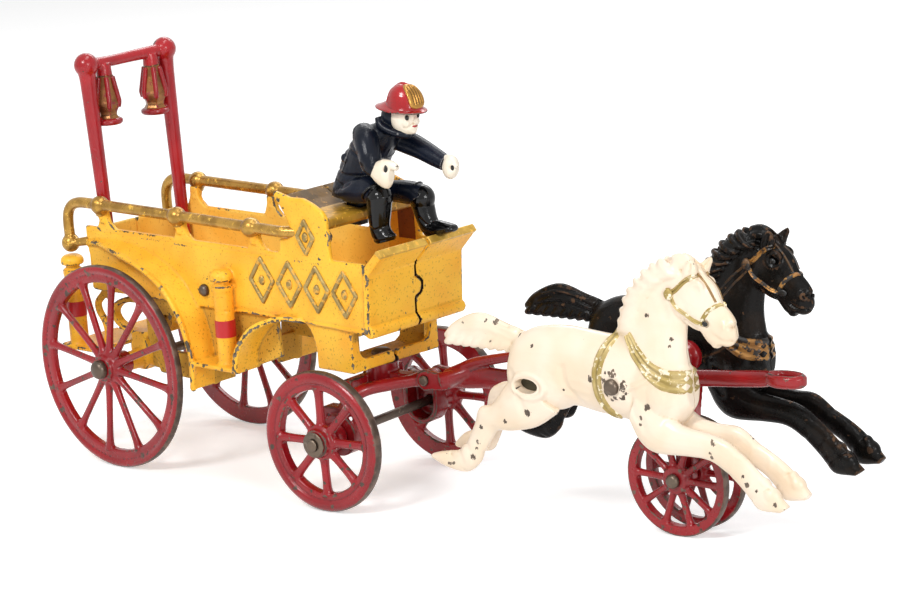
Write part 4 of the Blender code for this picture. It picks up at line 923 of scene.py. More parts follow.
def extinguisher(x, y, foot, barrel_top, top, cap):
    """Barrel on a foot flange, a neck groove and a mushroom cap."""
    return turned_z([
        (4.1, foot), (4.1, foot + 1.2), (3.75, foot + 1.7), (3.75, barrel_top - 2.6), (4.0, barrel_top - 2.2),
        (4.0, barrel_top - 0.4), (3.7, barrel_top), (2.7, barrel_top + 0.2), (2.7, barrel_top + 1.5),
        (cap - 0.2, barrel_top + 1.8), (cap + 0.1, barrel_top + 2.2), (cap + 0.1, top - 1.9),
        (cap - 0.5, top - 0.9), (cap - 1.6, top - 0.1), (1.2, top + 0.1),
    ], x, y, 32)


def body_shapes():
    return [
        side_panel(),
        box(-19.6, 131.6, -SIDE_Y + 0.5, -SEAM, FLOOR_Z - 1.6, FLOOR_Z),
        box(-20.6, -18.6, -SIDE_Y + 0.5, -SEAM, FLOOR_Z - 1.2, 90.6),
        box(43.6, 69.6, -LIP_Y, -20.9, 45.3, 47.1),
        box(43.0, 45.6, -33.9, -12.0, 36.2, 47.0),
        extinguisher(SIDE_TANK[0], -SIDE_TANK[1], 46.4, 77.6, 83.4, 4.3),
        extinguisher(REAR_TANK[0], -REAR_TANK[1], 42.8, 74.0, 79.6, 4.5),
        turned_y([(2.6, -25.2), (3.3, -25.1), (3.7, -24.6), (3.7, -23.6)], TIE_RIVET[0], TIE_RIVET[1], 32),
        *rear_fender(), *front_fender(), *lower_side(), *front_column(), *leaf_spring(), *rail_posts(),
        *rear_step(), *dash_shapes(),
    ]


# Chips on the side casting, each as x, y, z and radius, by the place where the enamel has flaked
SIDE_CHIPS = [
    (132.2, -24.8, 66.6, 1.9), (130.4, -24.9, 65.6, 1.4), (127.4, -24.8, 65.4, 0.9),
    (129.6, -24.8, 67.6, 0.8), (134.0, -20.0, 64.6, 0.9), (134.4, -10.6, 64.8, 0.8),
    (110.0, -24.8, 91.6, 0.8), (124.0, -24.8, 91.4, 0.7), (44.6, -24.8, 77.4, 0.8), (47.8, -24.8, 77.8, 0.6),
    (42.4, -24.8, 73.2, 0.7), (50.4, -24.8, 71.0, 0.5), (88.4, -24.6, 114.4, 1.2), (90.6, -24.8, 112.2, 0.9),
    (93.0, -24.8, 109.2, 0.6), (114.4, -24.8, 101.0, 0.8), (115.2, -24.8, 97.6, 0.7),
    (56.4, -30.0, 74.2, 0.8), (56.3, -29.6, 66.0, 1.2), (56.4, -30.0, 53.8, 1.0), (57.0, -30.6, 48.2, 1.1),
    (61.2, -32.2, 80.8, 0.8), (44.4, -LIP_Y, 40.0, 1.2), (45.0, -LIP_Y, 46.0, 1.4), (43.8, -LIP_Y, 54.0, 1.3),
    (39.6, -LIP_Y, 64.6, 1.0), (31.0, -LIP_Y, 74.4, 1.2), (20.0, -32.6, 80.6, 0.9), (5.0, -30.6, 84.6, 0.8),
    (69.0, -LIP_Y, 46.2, 1.2), (62.0, -LIP_Y, 46.0, 0.8), (52.0, -LIP_Y, 46.4, 0.9),
    (-36.2, -28.0, 43.0, 1.2), (-36.2, -14.0, 43.0, 1.0), (-34.2, -26.6, 78.0, 1.0),
    (-31.6, -29.4, 76.6, 0.8), (-33.0, -28.8, 44.2, 1.4), (121.4, -16.8, 50.0, 0.9), (121.5, -4.0, 53.2, 1.0),
    (112.0, -22.8, 49.2, 1.0),
]


def wagon_body():
    right = cast_piece("side_casting_right", body_shapes() + [dash_tab(0.0)], WAGON, grain=0.46)
    press(right, [[(-18.0, 90.4), (86.0, 90.2)], [(50.0, 68.2), (130.8, 67.4)]], 0.45, -0.3, -1)
    dent(right, [(26.0, 82.0, 9.0, -0.25), (60.0, 86.0, 10.0, 0.2), (118.0, 74.0, 9.0, -0.2),
                 (2.0, 80.0, 8.0, 0.2)], -1)
    left = mirrored_piece(right, "side_casting_left", WAGON)
    cut_away(left, [raw_object("notch", [dash_tab(0.55)], WAGON)])
    lip = [(x + 0.2, y, z - 0.6) for x, y, z in through(FRONT_LIP, 11)]
    worn = SIDE_CHIPS + [(x, y - 0.3, z - 0.5, 0.62 + 0.22 * math.sin(5.0 * i))
                         for i, (x, y, z) in enumerate(lip)]
    for z in np.arange(67.5, 91.0, 0.65):
        reach = 0.15 + 1.5 * max(0.0, (z - 80.0) / 11.0)
        worn.append((133.2 + 0.0726 * (z - 68.0) - reach * (0.8 + 0.5 * math.sin(9.0 * z)), -24.8, z,
                     0.42 + 0.55 * reach))
    for first, last, z in ((12.0, 22.0, 89.9), (31.0, 39.0, 89.7), (97.0, 101.0, 89.6), (106.0, 110.0, 89.5),
                           (66.0, 70.0, 67.9)):
        worn += [(x, -SIDE_Y, z + 0.3 * math.sin(7.0 * x), 0.42) for x in np.arange(first, last, 0.9)]
    worn += [(121.2, -22.6, z, 0.5 + 0.3 * math.sin(4.0 * z)) for z in np.arange(50.0, 64.0, 1.1)]
    for piece, side, node, seed in ((right, -1, "body_right", 3), (left, 1, "body_left", 4)):
        finish_cast(piece)
        knock(piece, [(x, -side * y, z, r) for x, y, z, r in worn], 90, (0.3, 0.8), seed)
        fit(piece, YELLOW, "wagon", "yellow_enamel", node)
        # Olive brown on the recessed inner walls: thin enamel over sand skin, and painted shade under the
        # overhang
        part_finish(piece, INNER_THIN_AND_SHADE, lambda x, y, z: (
            ((y < 23.2) & (z < 66.3) & (x > 8) & (x < 97))
            | ((y < 21.4) & (z > 50.4) & (z < 66.3) & (x > 101) & (x < 119.8))
            | ((y < 22.4) & (z > 61) & (z < 67.9) & (x < 131))))
        # Paler yellow inside the bed: painted light against the shade of the rails and arch
        part_finish(piece, BED_PAINTED_LIGHT, lambda x, y, z: (y < SIDE_Y - SIDE_T + 0.3) & (z > 68.6) & (x < 99.0))
        # Painted shadow of the bench on the inner faces of the seat ends
        part_finish(piece, SEAT_SHADOW_PAINT, lambda x, y, z: (
            (x > 104.6) & (x < 113.6) & (y < SIDE_Y - SIDE_T + 0.5) & (y > 21.0) & (z > 90.0) & (z < 107.0)))
        # Dark seam faces and notch walls: the joint's bare iron, and painted shade of the crack
        notch = TAB_R + 0.55 if side > 0 else -9.0
        part_finish(piece, SEAM_IRON_AND_SHADE, lambda x, y, z: (x > 119) & (z > 49) & (
            ((y < 0.6) & (np.abs(z - TAB_Z) > TAB_R + 0.2))
            | (np.abs(np.hypot(y - TAB_Y, z - TAB_Z) - notch) < 0.3)))
    seat = finish_cast(cast_piece("bench_right", seat_shapes(), WAGON, grain=0.4))
    rail = finish_cast(cast_piece("rail_right", rail_shapes(), WAGON, grain=0.4, soften=2))
    edge = finish_cast(cast_piece("toe_board_edge_right", [
        prism([(142.85, 95.7), (141.05, 98.05), (139.4, 97.45), (139.2, 96.6), (141.6, 94.7)], "y",
              -SIDE_Y - 0.4, -0.75),
    ], WAGON, grain=0.3, soften=1))
    for piece, finish, name in ((seat, OLIVE, "bench_left"), (rail, GILT, "rail_left"),
                                (edge, EDGE_GILT, "toe_board_edge_left")):
        twin = mirrored_piece(piece, name, WAGON)
        for one in (piece, twin):
            fit(one, finish, "wagon", "yellow_enamel")
            if finish is OLIVE:
                part_finish(one, BENCH_GOLD, lambda x, y, z: (x > 100.8) & (z > 102.8))
    for side, name in SIDES:
        for word, (x, y), low, high in (("side", SIDE_TANK, 57.6, 64.3), ("rear", REAR_TANK, 54.8, 61.0)):
            hoops = [(3.6, low), (3.95, low + 0.2), (3.98, (low + high) / 2), (3.95, high - 0.2), (3.6, high)]
            band = machined_piece("%s_extinguisher_band_%s" % (word, name),
                                  [turned_z(hoops, x, side * y, 48)], WAGON)
            fit(band, BAND_RED, "wagon", "red_enamel")


def ornaments():
    """Raised gilt lozenges along the side and one on the seat's end."""
    places = [(78.5, 80.6, 6.0, 8.2), (93.2, 80.4, 6.0, 8.2), (107.6, 80.0, 6.0, 8.2),
              (122.0, 79.6, 6.0, 8.2), (103.6, 99.2, 4.2, 6.0)]
    for side, name in SIDES:
        for number, (x, z, wide, tall) in enumerate(places, 1):
            corners = [(x + wide, z), (x, z + tall), (x - wide, z), (x, z - tall)]
            ring = []
            for i in range(4):
                a, b = corners[i], corners[(i + 1) % 4]
                ring.append(rod([(a[0], side * SIDE_Y, a[1]), (b[0], side * SIDE_Y, b[1])], LOZENGE_R, 12, 1))
                ring.append(ball((a[0], side * SIDE_Y, a[1]), LOZENGE_R, 12, 8))
            ring.append(ball((x, side * SIDE_Y, z), (1.5, 1.1, 2.0), 16, 10))
            word = "side_lozenge_%s_%d" % (name, number)
            piece = finish_cast(cast_piece(word, ring, WAGON, grain=0.3, soften=2))
            fit(piece, LOZENGE_GILT, "wagon", "yellow_enamel")


def steel_piece(name, shape, place, body, node):
    fit(machined_piece(name, [shape], place), STEEL, body, "dark_steel", node)


def rivet_and_king_pin():
    half = [(1.5, 0.0), (1.5, 25.2), (2.4, 25.2), (2.45, 25.7), (2.25, 26.3), (1.8, 26.9), (1.1, 27.3),
            (0.4, 27.4)]
    profile = [(r, -y) for r, y in reversed(half)] + half[1:]
    steel_piece("body_tie_rivet", turned_y(profile, *TIE_RIVET, 32), WAGON, "wagon", "body_rivet")
    pin = [(1.4, 37.6), (2.6, 37.9), (3.4, 38.6), (3.4, 39.3), (2.0, 39.3), (2.0, 51.3), (3.8, 51.3),
           (3.6, 52.3), (2.6, 53.0), (1.0, 53.2)]
    steel_piece("king_pin_steel", turned_z(pin, KING_PIN_X, 0), WAGON, "wagon", "king_pin")


def lamp_arch():
    top = [(ARCH_X, -ARCH_Y, 155.0), (ARCH_X, -8.0, 154.8), (ARCH_X, 6.0, 155.0), (ARCH_X, ARCH_Y, 155.0)]
    shapes = [rod(top, [2.5, 2.2, 2.3, 2.6], 20)]
    for side in (-1, 1):
        shapes += [
            rod([(-12.4, side * 19.4, FLOOR_Z + 0.3), (-15.8, side * 20.1, 136.0),
                 (-16.4, side * 20.2, 149.0), (ARCH_X, side * ARCH_Y, 152.4)], [2.3, 3.0, 3.25, 3.6], 20),
            ball((ARCH_X, side * ARCH_Y, 155.1), 4.75),
            rod([(LANTERN_X, side * LANTERN_Y, 132.4), (LANTERN_X, side * 19.6, 132.4)], 1.4, 12, 1),
            rod([(-16.2, side * LANTERN_Y, 154.6), (-15.9, side * LANTERN_Y, 149.6)], [2.9, 3.2], 20, 1),
        ]
    arch = finish_cast(cast_piece("lamp_arch_casting", shapes, WAGON, grain=0.36))
    knock(arch, [(-19.8, -20.3, 157.0, 0.9), (-16.4, 4.0, 152.8, 1.2)], 26, (0.3, 0.8), 5)
    fit(arch, ARCH_RED, "wagon", "red_enamel", "lamp_arch")
    base = [(3.6, 131.0), (5.0, 130.6), (5.7, 131.4), (5.6, 132.4), (4.6, 133.1)]
    glass = [(3.1, 150.6), (3.2, 149.6), (3.6, 146.0), (5.1, 140.0), (5.5, 138.8), (5.2, 138.0), (3.9, 135.6),
             (3.7, 134.4), (4.4, 133.2), (5.3, 132.6), (5.3, 131.2)]
    for side, name in SIDES:
        y = side * LANTERN_Y
        bars = [turned_z(base, LANTERN_X, y, 32)]
        for radius, z0, wide, z1 in ((3.1, 149.4, 5.1, 139.6), (5.1, 139.6, 4.6, 137.4)):
            for k in range(6):
                u = math.cos((k + 0.5) * math.pi / 3)
                v = math.sin((k + 0.5) * math.pi / 3)
                bar = [(LANTERN_X + radius * u, y + radius * v, z0),
                       (LANTERN_X + wide * u, y + wide * v, z1)]
                bars.append(rod(bar, 1.0, 12, 1))
        frame_piece = finish_cast(cast_piece("lantern_frame_" + name, bars, WAGON, grain=0.26, soften=2))
        fit(frame_piece, LAMP_RED, "wagon", "red_enamel")
        rings = [[(LANTERN_X + radius * math.cos(t), y + radius * math.sin(t), z)
                  for t in [math.pi / 6 + k * math.pi / 3 for k in range(6)]] for radius, z in glass]
        lamp = finish_cast(cast_piece("lantern_" + name, [loft(rings)], WAGON, grain=0.26, soften=2))
        fit(lamp, LANTERN_GILT, "wagon", "red_enamel")


# Wheels and axles

def spokes(cx, cz, count, inner, outer, hub_y, rim_y, radii, first_deg):
    """Spokes from a hub to a rim, each on its own y, the first one at an angle above the line ahead."""
    made = []
    for i in range(count):
        turn = math.radians(first_deg + 360.0 * i / count)
        way = (math.cos(turn), math.sin(turn))
        line = []
        for part in (0.0, 0.18, 0.5, 0.85, 1.0):
            reach = inner + (outer - inner) * part
            line.append((cx + reach * way[0], hub_y + (rim_y - hub_y) * part, cz + reach * way[1]))
        made.append(rod(line, radii, 12, 3))
    return made


def wheel_pair(name, bodies, place, x, radius, finish, grain, rim, hub, steps, spoke, worn_in, patches):
    """A wheel and its twin; patches are worn places as angle, reach past a circle in the rim, and radius."""
    centre = (x, 0, radius)
    shapes = [hoop(rim, x, radius, steps[0]), hoop(hub, x, radius, steps[1]), *spokes(x, radius, *spoke)]
    right = finish_cast(cast_piece(name + "_right", shapes, place, centre, grain, 2))
    left = mirrored_piece(right, name + "_left", place, centre)
    circle_r = radius - worn_in
    worn = [((circle_r + reach) * math.cos(math.radians(turn)), None,
             (circle_r + reach) * math.sin(math.radians(turn)), r)
            for turn, reach, r in patches]
    for piece, seed, body in ((right, 11, bodies + "_right"), (left, 12, bodies + "_left")):
        knock(piece, worn, 70, (0.35, 1.1), seed, 0.35)
        fit(piece, finish, body, "red_enamel", body)


def wheels():
    wheel_pair(
        "rear_wheel", "rear_wheel", WAGON, 0, REAR_R, REAR_RED, 0.42,
        rim=[(33.2, -34.4), (33.4, -36.6), (34.0, -37.2), (36.4, -37.2), (36.8, -36.7), (37.2, -37.3),
             (38.0, -37.8), (39.0, -37.7), (40.0, -37.0), (REAR_R, -36.0), (REAR_R, -34.8), (39.8, -34.1),
             (33.8, -34.1)],
        hub=[(2.2, -28.0), (4.7, -28.0), (5.1, -33.0), (6.2, -34.6), (7.3, -35.4), (7.4, -36.6), (6.6, -37.9),
             (5.5, -38.8), (5.1, -40.2), (4.6, -40.8), (2.2, -40.8)],
        steps=(128, 40), worn_in=3.4, spoke=(12, 4.4, 34.4, -36.7, -35.8, [2.3, 1.5, 1.35, 1.45, 2.2], 21.6),
        patches=[(100, 0, 1.5), (102, 1.5, 1.0), (75, -1, 1.2), (175, 0, 1.7), (179, 0.5, 1.1),
                 (200, 0.5, 1.3), (215, 0, 1.5), (-65, 0, 1.4), (-60, 0.5, 0.9), (25, 0.4, 1.2),
                 (-12, 0, 1.6), (-16, 0.3, 1.0), (130, 0.6, 0.8), (21.6, -14, 1.0), (81.6, -18, 0.9),
                 (141.6, -12, 1.1), (-38.4, -16, 1.1), (-68.4, -10, 0.9), (201.6, -20, 0.9)],
    )
    wheel_pair(
        "front_wheel", "front_wheel", TRUCK, 0, FRONT_R, FRONT_RED, 0.38,
        rim=[(19.4, -34.9), (19.6, -37.9), (20.0, -38.3), (21.5, -38.3), (21.9, -37.9), (22.5, -38.9),
             (23.6, -39.3), (25.0, -39.1), (26.2, -38.2), (FRONT_R, -37.2), (FRONT_R, -35.4), (26.0, -34.5),
             (19.9, -34.5)],
        hub=[(2.0, -28.4), (4.8, -28.4), (5.3, -33.6), (6.4, -35.8), (6.7, -37.0), (6.6, -38.8), (5.5, -39.2),
             (5.2, -41.0), (4.8, -41.3), (2.0, -41.3)],
        steps=(104, 36), worn_in=3.2, spoke=(8, 4.2, 20.6, -36.9, -36.6, [2.7, 1.8, 1.6, 1.8, 2.6], 1.2),
        patches=[(60, 0, 1.2), (15, 0.5, 1.0), (-35, 0, 1.4), (-80, 0.6, 1.1), (140, 0, 1.3), (190, 0.4, 1.2),
                 (235, 0, 1.0), (110, 1.2, 0.8), (1.2, -9, 0.9), (46.2, -11, 0.8), (-43.8, -10, 1.0),
                 (-88.8, -8, 0.8)],
    )
    wheel_pair(
        "small_wheel", "pole_wheel", TRUCK, SMALL_X, SMALL_R, SMALL_RED, 0.34,
        rim=[(16.7, -4.1), (16.9, -7.0), (17.3, -7.25), (20.2, -7.2), (SMALL_R, -6.8), (SMALL_R, -4.3),
             (20.2, -3.9), (17.1, -3.9)],
        hub=[(1.9, -2.7), (4.3, -2.7), (5.2, -5.0), (5.5, -6.6), (5.0, -7.6), (4.7, -8.25), (1.9, -8.25)],
        steps=(88, 32), worn_in=1.8, spoke=(10, 3.8, 17.4, -6.0, -5.6, [2.0, 1.35, 1.25, 1.35, 1.9], 33.6),
        patches=[(30, 0, 1.0), (-20, 0.4, 0.9), (80, 0.5, 1.2), (120, 0, 0.9), (200, 0.3, 1.0),
                 (250, 0.2, 0.8), (300, 0.6, 1.0), (60, -14, 1.2), (140, -14, 1.0), (230, -14, 1.3),
                 (320, -14, 1.1), (33.6, -9, 0.8), (-38.4, -8, 0.9)],
    )


def headed_axle(cx, cz, radius, head_y, head):
    """Round bar along Y with a turned head at each end, from pairs of radius and distance past head_y."""
    half = [(radius, 0.0), (radius, head_y)] + [(r, head_y + out) for r, out in head]
    return turned_y([(r, -y) for r, y in reversed(half)] + half[1:], cx, cz, 36)


def axles():
    rear = [(3.7, 0.0), (3.75, 0.8), (3.6, 1.7), (3.1, 2.5), (2.2, 3.0), (0.8, 3.2)]
    steel_piece("rear_axle_steel", headed_axle(0, REAR_R, 1.9, 41.1, rear), WAGON, "wagon", "rear_axle")
    front = [(2.3, 0.0), (2.3, 0.5), (1.9, 0.9), (1.2, 1.0), (0.5, 0.9)]
    steel_piece("front_axle_steel", headed_axle(0, FRONT_R, 1.7, 43.0, front), TRUCK, "truck", "front_axle")
    section = [(2.0, -42.6), (2.4, -42.7), (4.3, -42.7), (4.7, -42.4), (4.7, -41.9), (4.4, -41.6),
               (2.0, -41.6)]
    washer = hoop(section, 0, FRONT_R, 40)
    for shape, name in ((washer, "right"), (mirror_shape(washer), "left")):
        steel_piece("axle_washer_" + name, shape, TRUCK, "truck", "front_washer_" + name)
    small = [(2.6, 0.0), (2.6, 0.7), (2.3, 1.4), (1.6, 1.8), (0.5, 1.9)]
    steel_piece("small_axle_steel", headed_axle(SMALL_X, SMALL_R, 1.6, 8.6, small), TRUCK, "team",
                "pole_axle")
    pin = [(1.9, 0.0), (1.9, 0.4), (1.5, 0.9), (0.6, 1.0)]
    steel_piece("pole_hinge_pin", headed_axle(*POLE_PIN, 1.3, 5.5, pin), TRUCK, "team", "pole_pin")


# Front truck and pole

def front_truck():
    shapes = [
        hoop_z([(2.3, 39.6), (6.2, 39.6), (6.2, 48.6), (2.3, 48.6)], 40),
        prism([(-6.4, -3.6), (-2.6, -3.4), (-2.6, 3.4), (-6.4, 3.6)], "z", 40.6, 44.8),
        prism([(2.6, -3.2), (20.0, -2.6), (20.0, 2.6), (2.6, 3.2)], "z", 40.6, 44.8),
        box(-6.6, -2.6, -15.6, 15.6, 39.8, 44.0),
        prism([(16.0, 40.8), (21.9, 40.6), (21.9, 46.8), (16.0, 45.2)], "y", -2.3, 2.3),
        hoop([(1.6, -2.3), (3.5, -2.3), (3.5, 2.3), (1.6, 2.3)], *POLE_PIN, 32),
    ]
    for side in (-1, 1):
        shapes.append(rod([
            (0.0, side * 24.0, 34.6), (0.2, side * 19.4, 38.4), (3.0, side * 14.0, 40.8),
            (10.0, side * 7.4, 42.0), (18.4, side * 1.6, 43.0),
        ], [2.9, 2.7, 2.5, 2.4, 2.2], 16))
        low, high = sorted((side * 20.4, side * 26.6))
        wall = [(6.0, low), (7.9, low), (7.9, high), (6.0, high)]
        turn = [math.radians(180 + 180 * i / 24) for i in range(25)]
        shapes.append(loft([[(r * math.cos(t), y, FRONT_R + r * math.sin(t)) for r, y in wall]
                            for t in turn]))
        for x in (-8.0, 6.0):
            shapes.append(box(x, x + 2.0, low, high, FRONT_R - 0.4, 36.4))
        shapes.append(box(-7.9, 7.9, low, high, 33.8, 36.5))
        disc = [(2.0, side * 26.2), (7.95, side * 26.2), (7.95, side * 27.9), (2.0, side * 27.9)]
        shapes.append(hoop(disc, 0, FRONT_R, 40))
        web = [(-6.4, side * 2.0), (-2.7, side * 2.6), (-2.7, side * 12.0), (-6.4, side * 13.0)]
        shapes.append(prism(web, "z", 40.6, 43.4))
    truck = finish_cast(cast_piece("front_truck_casting", shapes, TRUCK, grain=0.42))
    knock(truck, [(4.0, -13.0, 43.0, 1.6), (7.0, 9.0, 43.8, 1.8), (9.0, 8.0, 43.6, 1.2)], 30, (0.4, 1.1), 22)
    fit(truck, RED, "truck", "red_enamel", "front_truck")


def pole():
    px, pz = POLE_PIN
    rx, rz = TEAM_RIVET
    shapes = [limb([
        (34.0, 46.4, 33.0, 41.6, 3.0), (40.0, 49.0, 39.4, 41.6, 2.4), (49.0, 50.8, 48.4, 42.6, 2.1),
        (60.2, 51.0, 59.6, 43.6, 2.0), (84.0, 53.6, 83.6, 46.6, 2.0), (112.0, 56.4, 112.0, 49.8, 2.1),
        (142.0, 59.3, 142.4, 53.3, 2.3), (158.0, 60.7, 158.0, 54.7, 2.6), (168.0, 61.7, 168.2, 55.8, 3.0),
        (173.0, 61.9, 173.0, 56.6, 3.2)], 0, 28)]
    for side in (-1, 1):
        low, high = sorted((side * 2.75, side * 5.15))
        shapes.append(hoop([(1.6, low), (3.9, low), (3.9, high), (1.6, high)], px, pz, 32))
        shapes.append(prism([(px + 2.4, pz - 3.4), (33.1, 41.4), (35.2, 47.2), (px + 2.4, pz + 3.6)], "y",
                            low, high))
        shapes.append(rod([(31.0, side * 3.4, 44.6), (36.0, side * 2.4, 46.2), (42.0, 0, 48.6)],
                          [3.1, 2.8, 2.2], 16))
    shapes.append(box(30.4, 35.0, -5.0, 5.0, 42.0, 47.4))
    shapes.append(rod([(31.0, 0, 45.4), (37.0, 0, 48.2), (43.1, 0, 51.2), (50.4, 0, 53.4), (60.5, 0, 55.7),
                       (84.0, 0, 61.0), (104.0, 0, 63.0), (120.0, 0, 62.2), (129.1, 0, 59.8)],
                       [2.8, 2.6, 2.3, 2.0, 1.9, 2.0, 2.1, 2.3, 2.9], 18))
    boss = [(4.4, 0), (5.5, 0.5), (5.8, 1.4), (5.7, 3.2), (4.4, 4.2), (3.4, 4.6)]
    for side in (-1, 1):
        shapes.append(turned_y([(r, side * (14.8 - d)) for r, d in boss] + [(3.4, 0.0)], rx, rz, 36))
    shapes.append(prism([
        (131.6, 54.0), (143.4, 57.6), (141.4, 44.0), (138.8, 22.0), *arc(SMALL_X, SMALL_R, 3.6, -20, -70, 3),
        (SMALL_X + 1.2, SMALL_R - 1.9), (SMALL_X + 1.9, SMALL_R), (SMALL_X, SMALL_R + 1.9),
        (SMALL_X - 1.9, SMALL_R), (SMALL_X - 1.2, SMALL_R - 1.9), *arc(SMALL_X, SMALL_R, 3.6, -110, -160, 3),
        (132.0, 24.0), (132.6, 44.0),
    ], "y", -2.1, 2.1))
    shapes.append(hitch_ring())
    casting = finish_cast(cast_piece("pole_casting", shapes, TRUCK, grain=0.4))
    rubbed = [(184.6, 0.0, 62.0, 1.2), (172.0, -3.0, 57.0, 0.9), (50.0, -2.0, 51.0, 0.7)]
    knock(casting, rubbed, 40, (0.3, 0.9), 21)
    fit(casting, RED, "team", "red_enamel", "pole")


def hitch_ring():
    """Flat oval eye at the pole's tip round a hole with squarer corners."""
    rings = []
    for t in turns(48):
        u, v = math.cos(t), math.sin(t)
        out = (178.2 + 8.0 * u, 4.75 * v)
        inner = (178.3 + 4.7 * math.copysign(abs(u) ** 0.7, u), 2.6 * math.copysign(abs(v) ** 0.7, v))
        middle = ((inner[0] + out[0]) / 2, (inner[1] + out[1]) / 2)
        rings.append([(*inner, 58.3), (*middle, 57.0), (*out, 58.2), (*out, 60.8), (*middle, 62.0),
                      (*inner, 60.7)])
    return loft(rings, True)


# Horses

TRUNK = [
    (83.6, 71.2, 79.6, 60.0, 3.6), (86.6, 73.4, 80.2, 52.6, 6.8), (92.4, 75.8, 84.0, 48.0, 8.2),
    (100.0, 77.0, 98.6, 46.4, 8.4), (107.5, 77.2, 107.5, 48.8, 7.9), (116.5, 76.4, 117.5, 47.6, 8.1),
    (124.6, 76.0, 126.5, 46.8, 8.5), (132.5, 77.6, 136.5, 45.4, 8.4), (142.5, 76.6, 145.5, 43.6, 7.9),
    (150.5, 72.4, 152.5, 48.0, 6.6), (156.2, 67.0, 156.8, 53.4, 4.0),
]
NECK = [
    (129.0, 74.0, 152.0, 54.0, 7.6), (129.6, 79.0, 155.4, 63.0, 6.6), (131.8, 87.6, 154.6, 74.0, 5.3),
    (137.6, 95.4, 155.4, 81.8, 4.6), (145.0, 100.8, 157.6, 88.4, 4.2), (152.4, 103.8, 161.4, 95.4, 3.7),
]
HEAD = [
    (152.6, 103.0, 151.0, 92.4, 3.4), (161.6, 101.0, 153.8, 84.4, 4.7), (167.2, 97.0, 157.2, 81.6, 4.6),
    (170.0, 91.4, 161.0, 79.9, 3.7), (173.4, 87.6, 163.4, 77.2, 3.4), (175.0, 84.5, 166.6, 75.6, 3.4),
    (174.0, 80.6, 170.4, 76.5, 2.4),
]
TAIL = [
    (86.4, 73.4, 81.4, 65.6, 2.7), (78.5, 75.6, 76.4, 66.2, 2.9), (72.5, 77.5, 69.6, 66.8, 3.1),
    (67.6, 78.4, 62.2, 67.0, 3.1), (61.8, 77.2, 56.8, 67.0, 2.9), (54.8, 73.6, 52.8, 67.2, 2.3),
    (50.8, 69.6, 50.8, 67.8, 1.2),
]
NEAR_HIND = [
    (86.5, 62.0, 102.5, 46.5, 4.0), (79.2, 53.4, 92.6, 40.4, 4.0), (73.4, 46.9, 82.0, 37.8, 3.2),
    (67.8, 45.0, 75.6, 37.2, 2.7), (65.2, 39.0, 72.6, 34.0, 2.2), (61.0, 31.6, 68.6, 28.2, 2.1),
    (57.2, 28.2, 66.4, 24.2, 2.4), (53.4, 27.4, 60.6, 20.2, 2.6), (48.4, 26.4, 52.4, 20.9, 2.6),
    (44.3, 25.1, 45.6, 23.7, 1.8),
]
FAR_HIND = [
    (86.5, 62.0, 100.5, 48.0, 3.8), (77.0, 54.0, 88.0, 43.0, 3.6), (71.2, 52.3, 79.6, 42.2, 3.0),
    (65.8, 48.8, 74.2, 40.2, 2.5), (63.4, 41.4, 71.0, 36.6, 2.1), (60.0, 35.6, 68.5, 31.4, 2.0),
    (56.6, 33.2, 65.0, 26.4, 2.3), (52.6, 31.4, 57.6, 25.4, 2.5), (48.5, 27.7, 49.8, 25.7, 1.8),
]
NEAR_FORE = [
    (138.5, 60.0, 133.5, 47.0, 4.0), (148.4, 52.0, 137.2, 40.4, 4.1), (154.0, 48.2, 143.5, 37.0, 3.8),
    (163.2, 46.6, 156.6, 37.3, 2.9), (170.6, 45.2, 165.4, 36.8, 2.6), (177.0, 41.6, 172.6, 32.8, 2.1),
    (184.5, 35.4, 178.5, 27.6, 2.0), (189.4, 30.8, 181.0, 24.9, 2.4), (192.4, 27.8, 184.4, 22.0, 2.6),
    (195.8, 24.5, 192.4, 22.1, 2.1),
]
FAR_FORE = [
    (146.5, 56.0, 141.5, 45.0, 4.0), (154.4, 49.2, 148.4, 40.4, 3.6), (162.4, 47.4, 158.6, 39.6, 3.0),
    (171.4, 47.0, 167.6, 39.2, 2.6), (179.0, 42.2, 174.6, 35.0, 2.1), (186.3, 38.2, 181.5, 31.0, 2.0),
    (191.5, 34.4, 185.1, 27.6, 2.4), (195.9, 30.2, 188.4, 23.6, 2.6), (198.6, 26.8, 196.8, 24.5, 2.1),
]
CREST = [(128.6, 77.0), (129.8, 82.0), (131.8, 88.0), (135.0, 93.4), (140.0, 98.6), (146.0, 102.6),
         (151.4, 104.6)]
NEAR_EAR = [(156.4, 98.6, 161.6, 99.0, 1.6), (156.8, 101.6, 162.6, 101.4, 1.8),
            (158.2, 104.0, 162.3, 103.6, 1.4), (159.7, 105.6, 161.0, 105.2, 0.6)]
FAR_EAR = [(158.4, 99.4, 163.2, 99.8, 1.6), (159.9, 102.8, 164.2, 102.4, 1.6),
           (162.6, 105.0, 165.0, 104.2, 1.1), (164.2, 105.9, 164.8, 105.4, 0.4)]
LEGS = [(NEAR_HIND, -4.6), (FAR_HIND, 4.6), (NEAR_FORE, -4.6), (FAR_FORE, 4.6)]
HAUNCH_HOLE = (91.8, 56.0)


def along_crest(first):
    """Places along the mane's edge with the directions ahead along it and out of it."""
    crest = through(CREST, 8)
    for i in range(first, len(crest) - 2, 5):
        ahead = Vector((crest[i + 2][0] - crest[i - 2][0], 0, crest[i + 2][1] - crest[i - 2][1])).normalized()
        yield Vector((crest[i][0], 0, crest[i][1])), ahead, Vector((-ahead.z, 0, ahead.x))


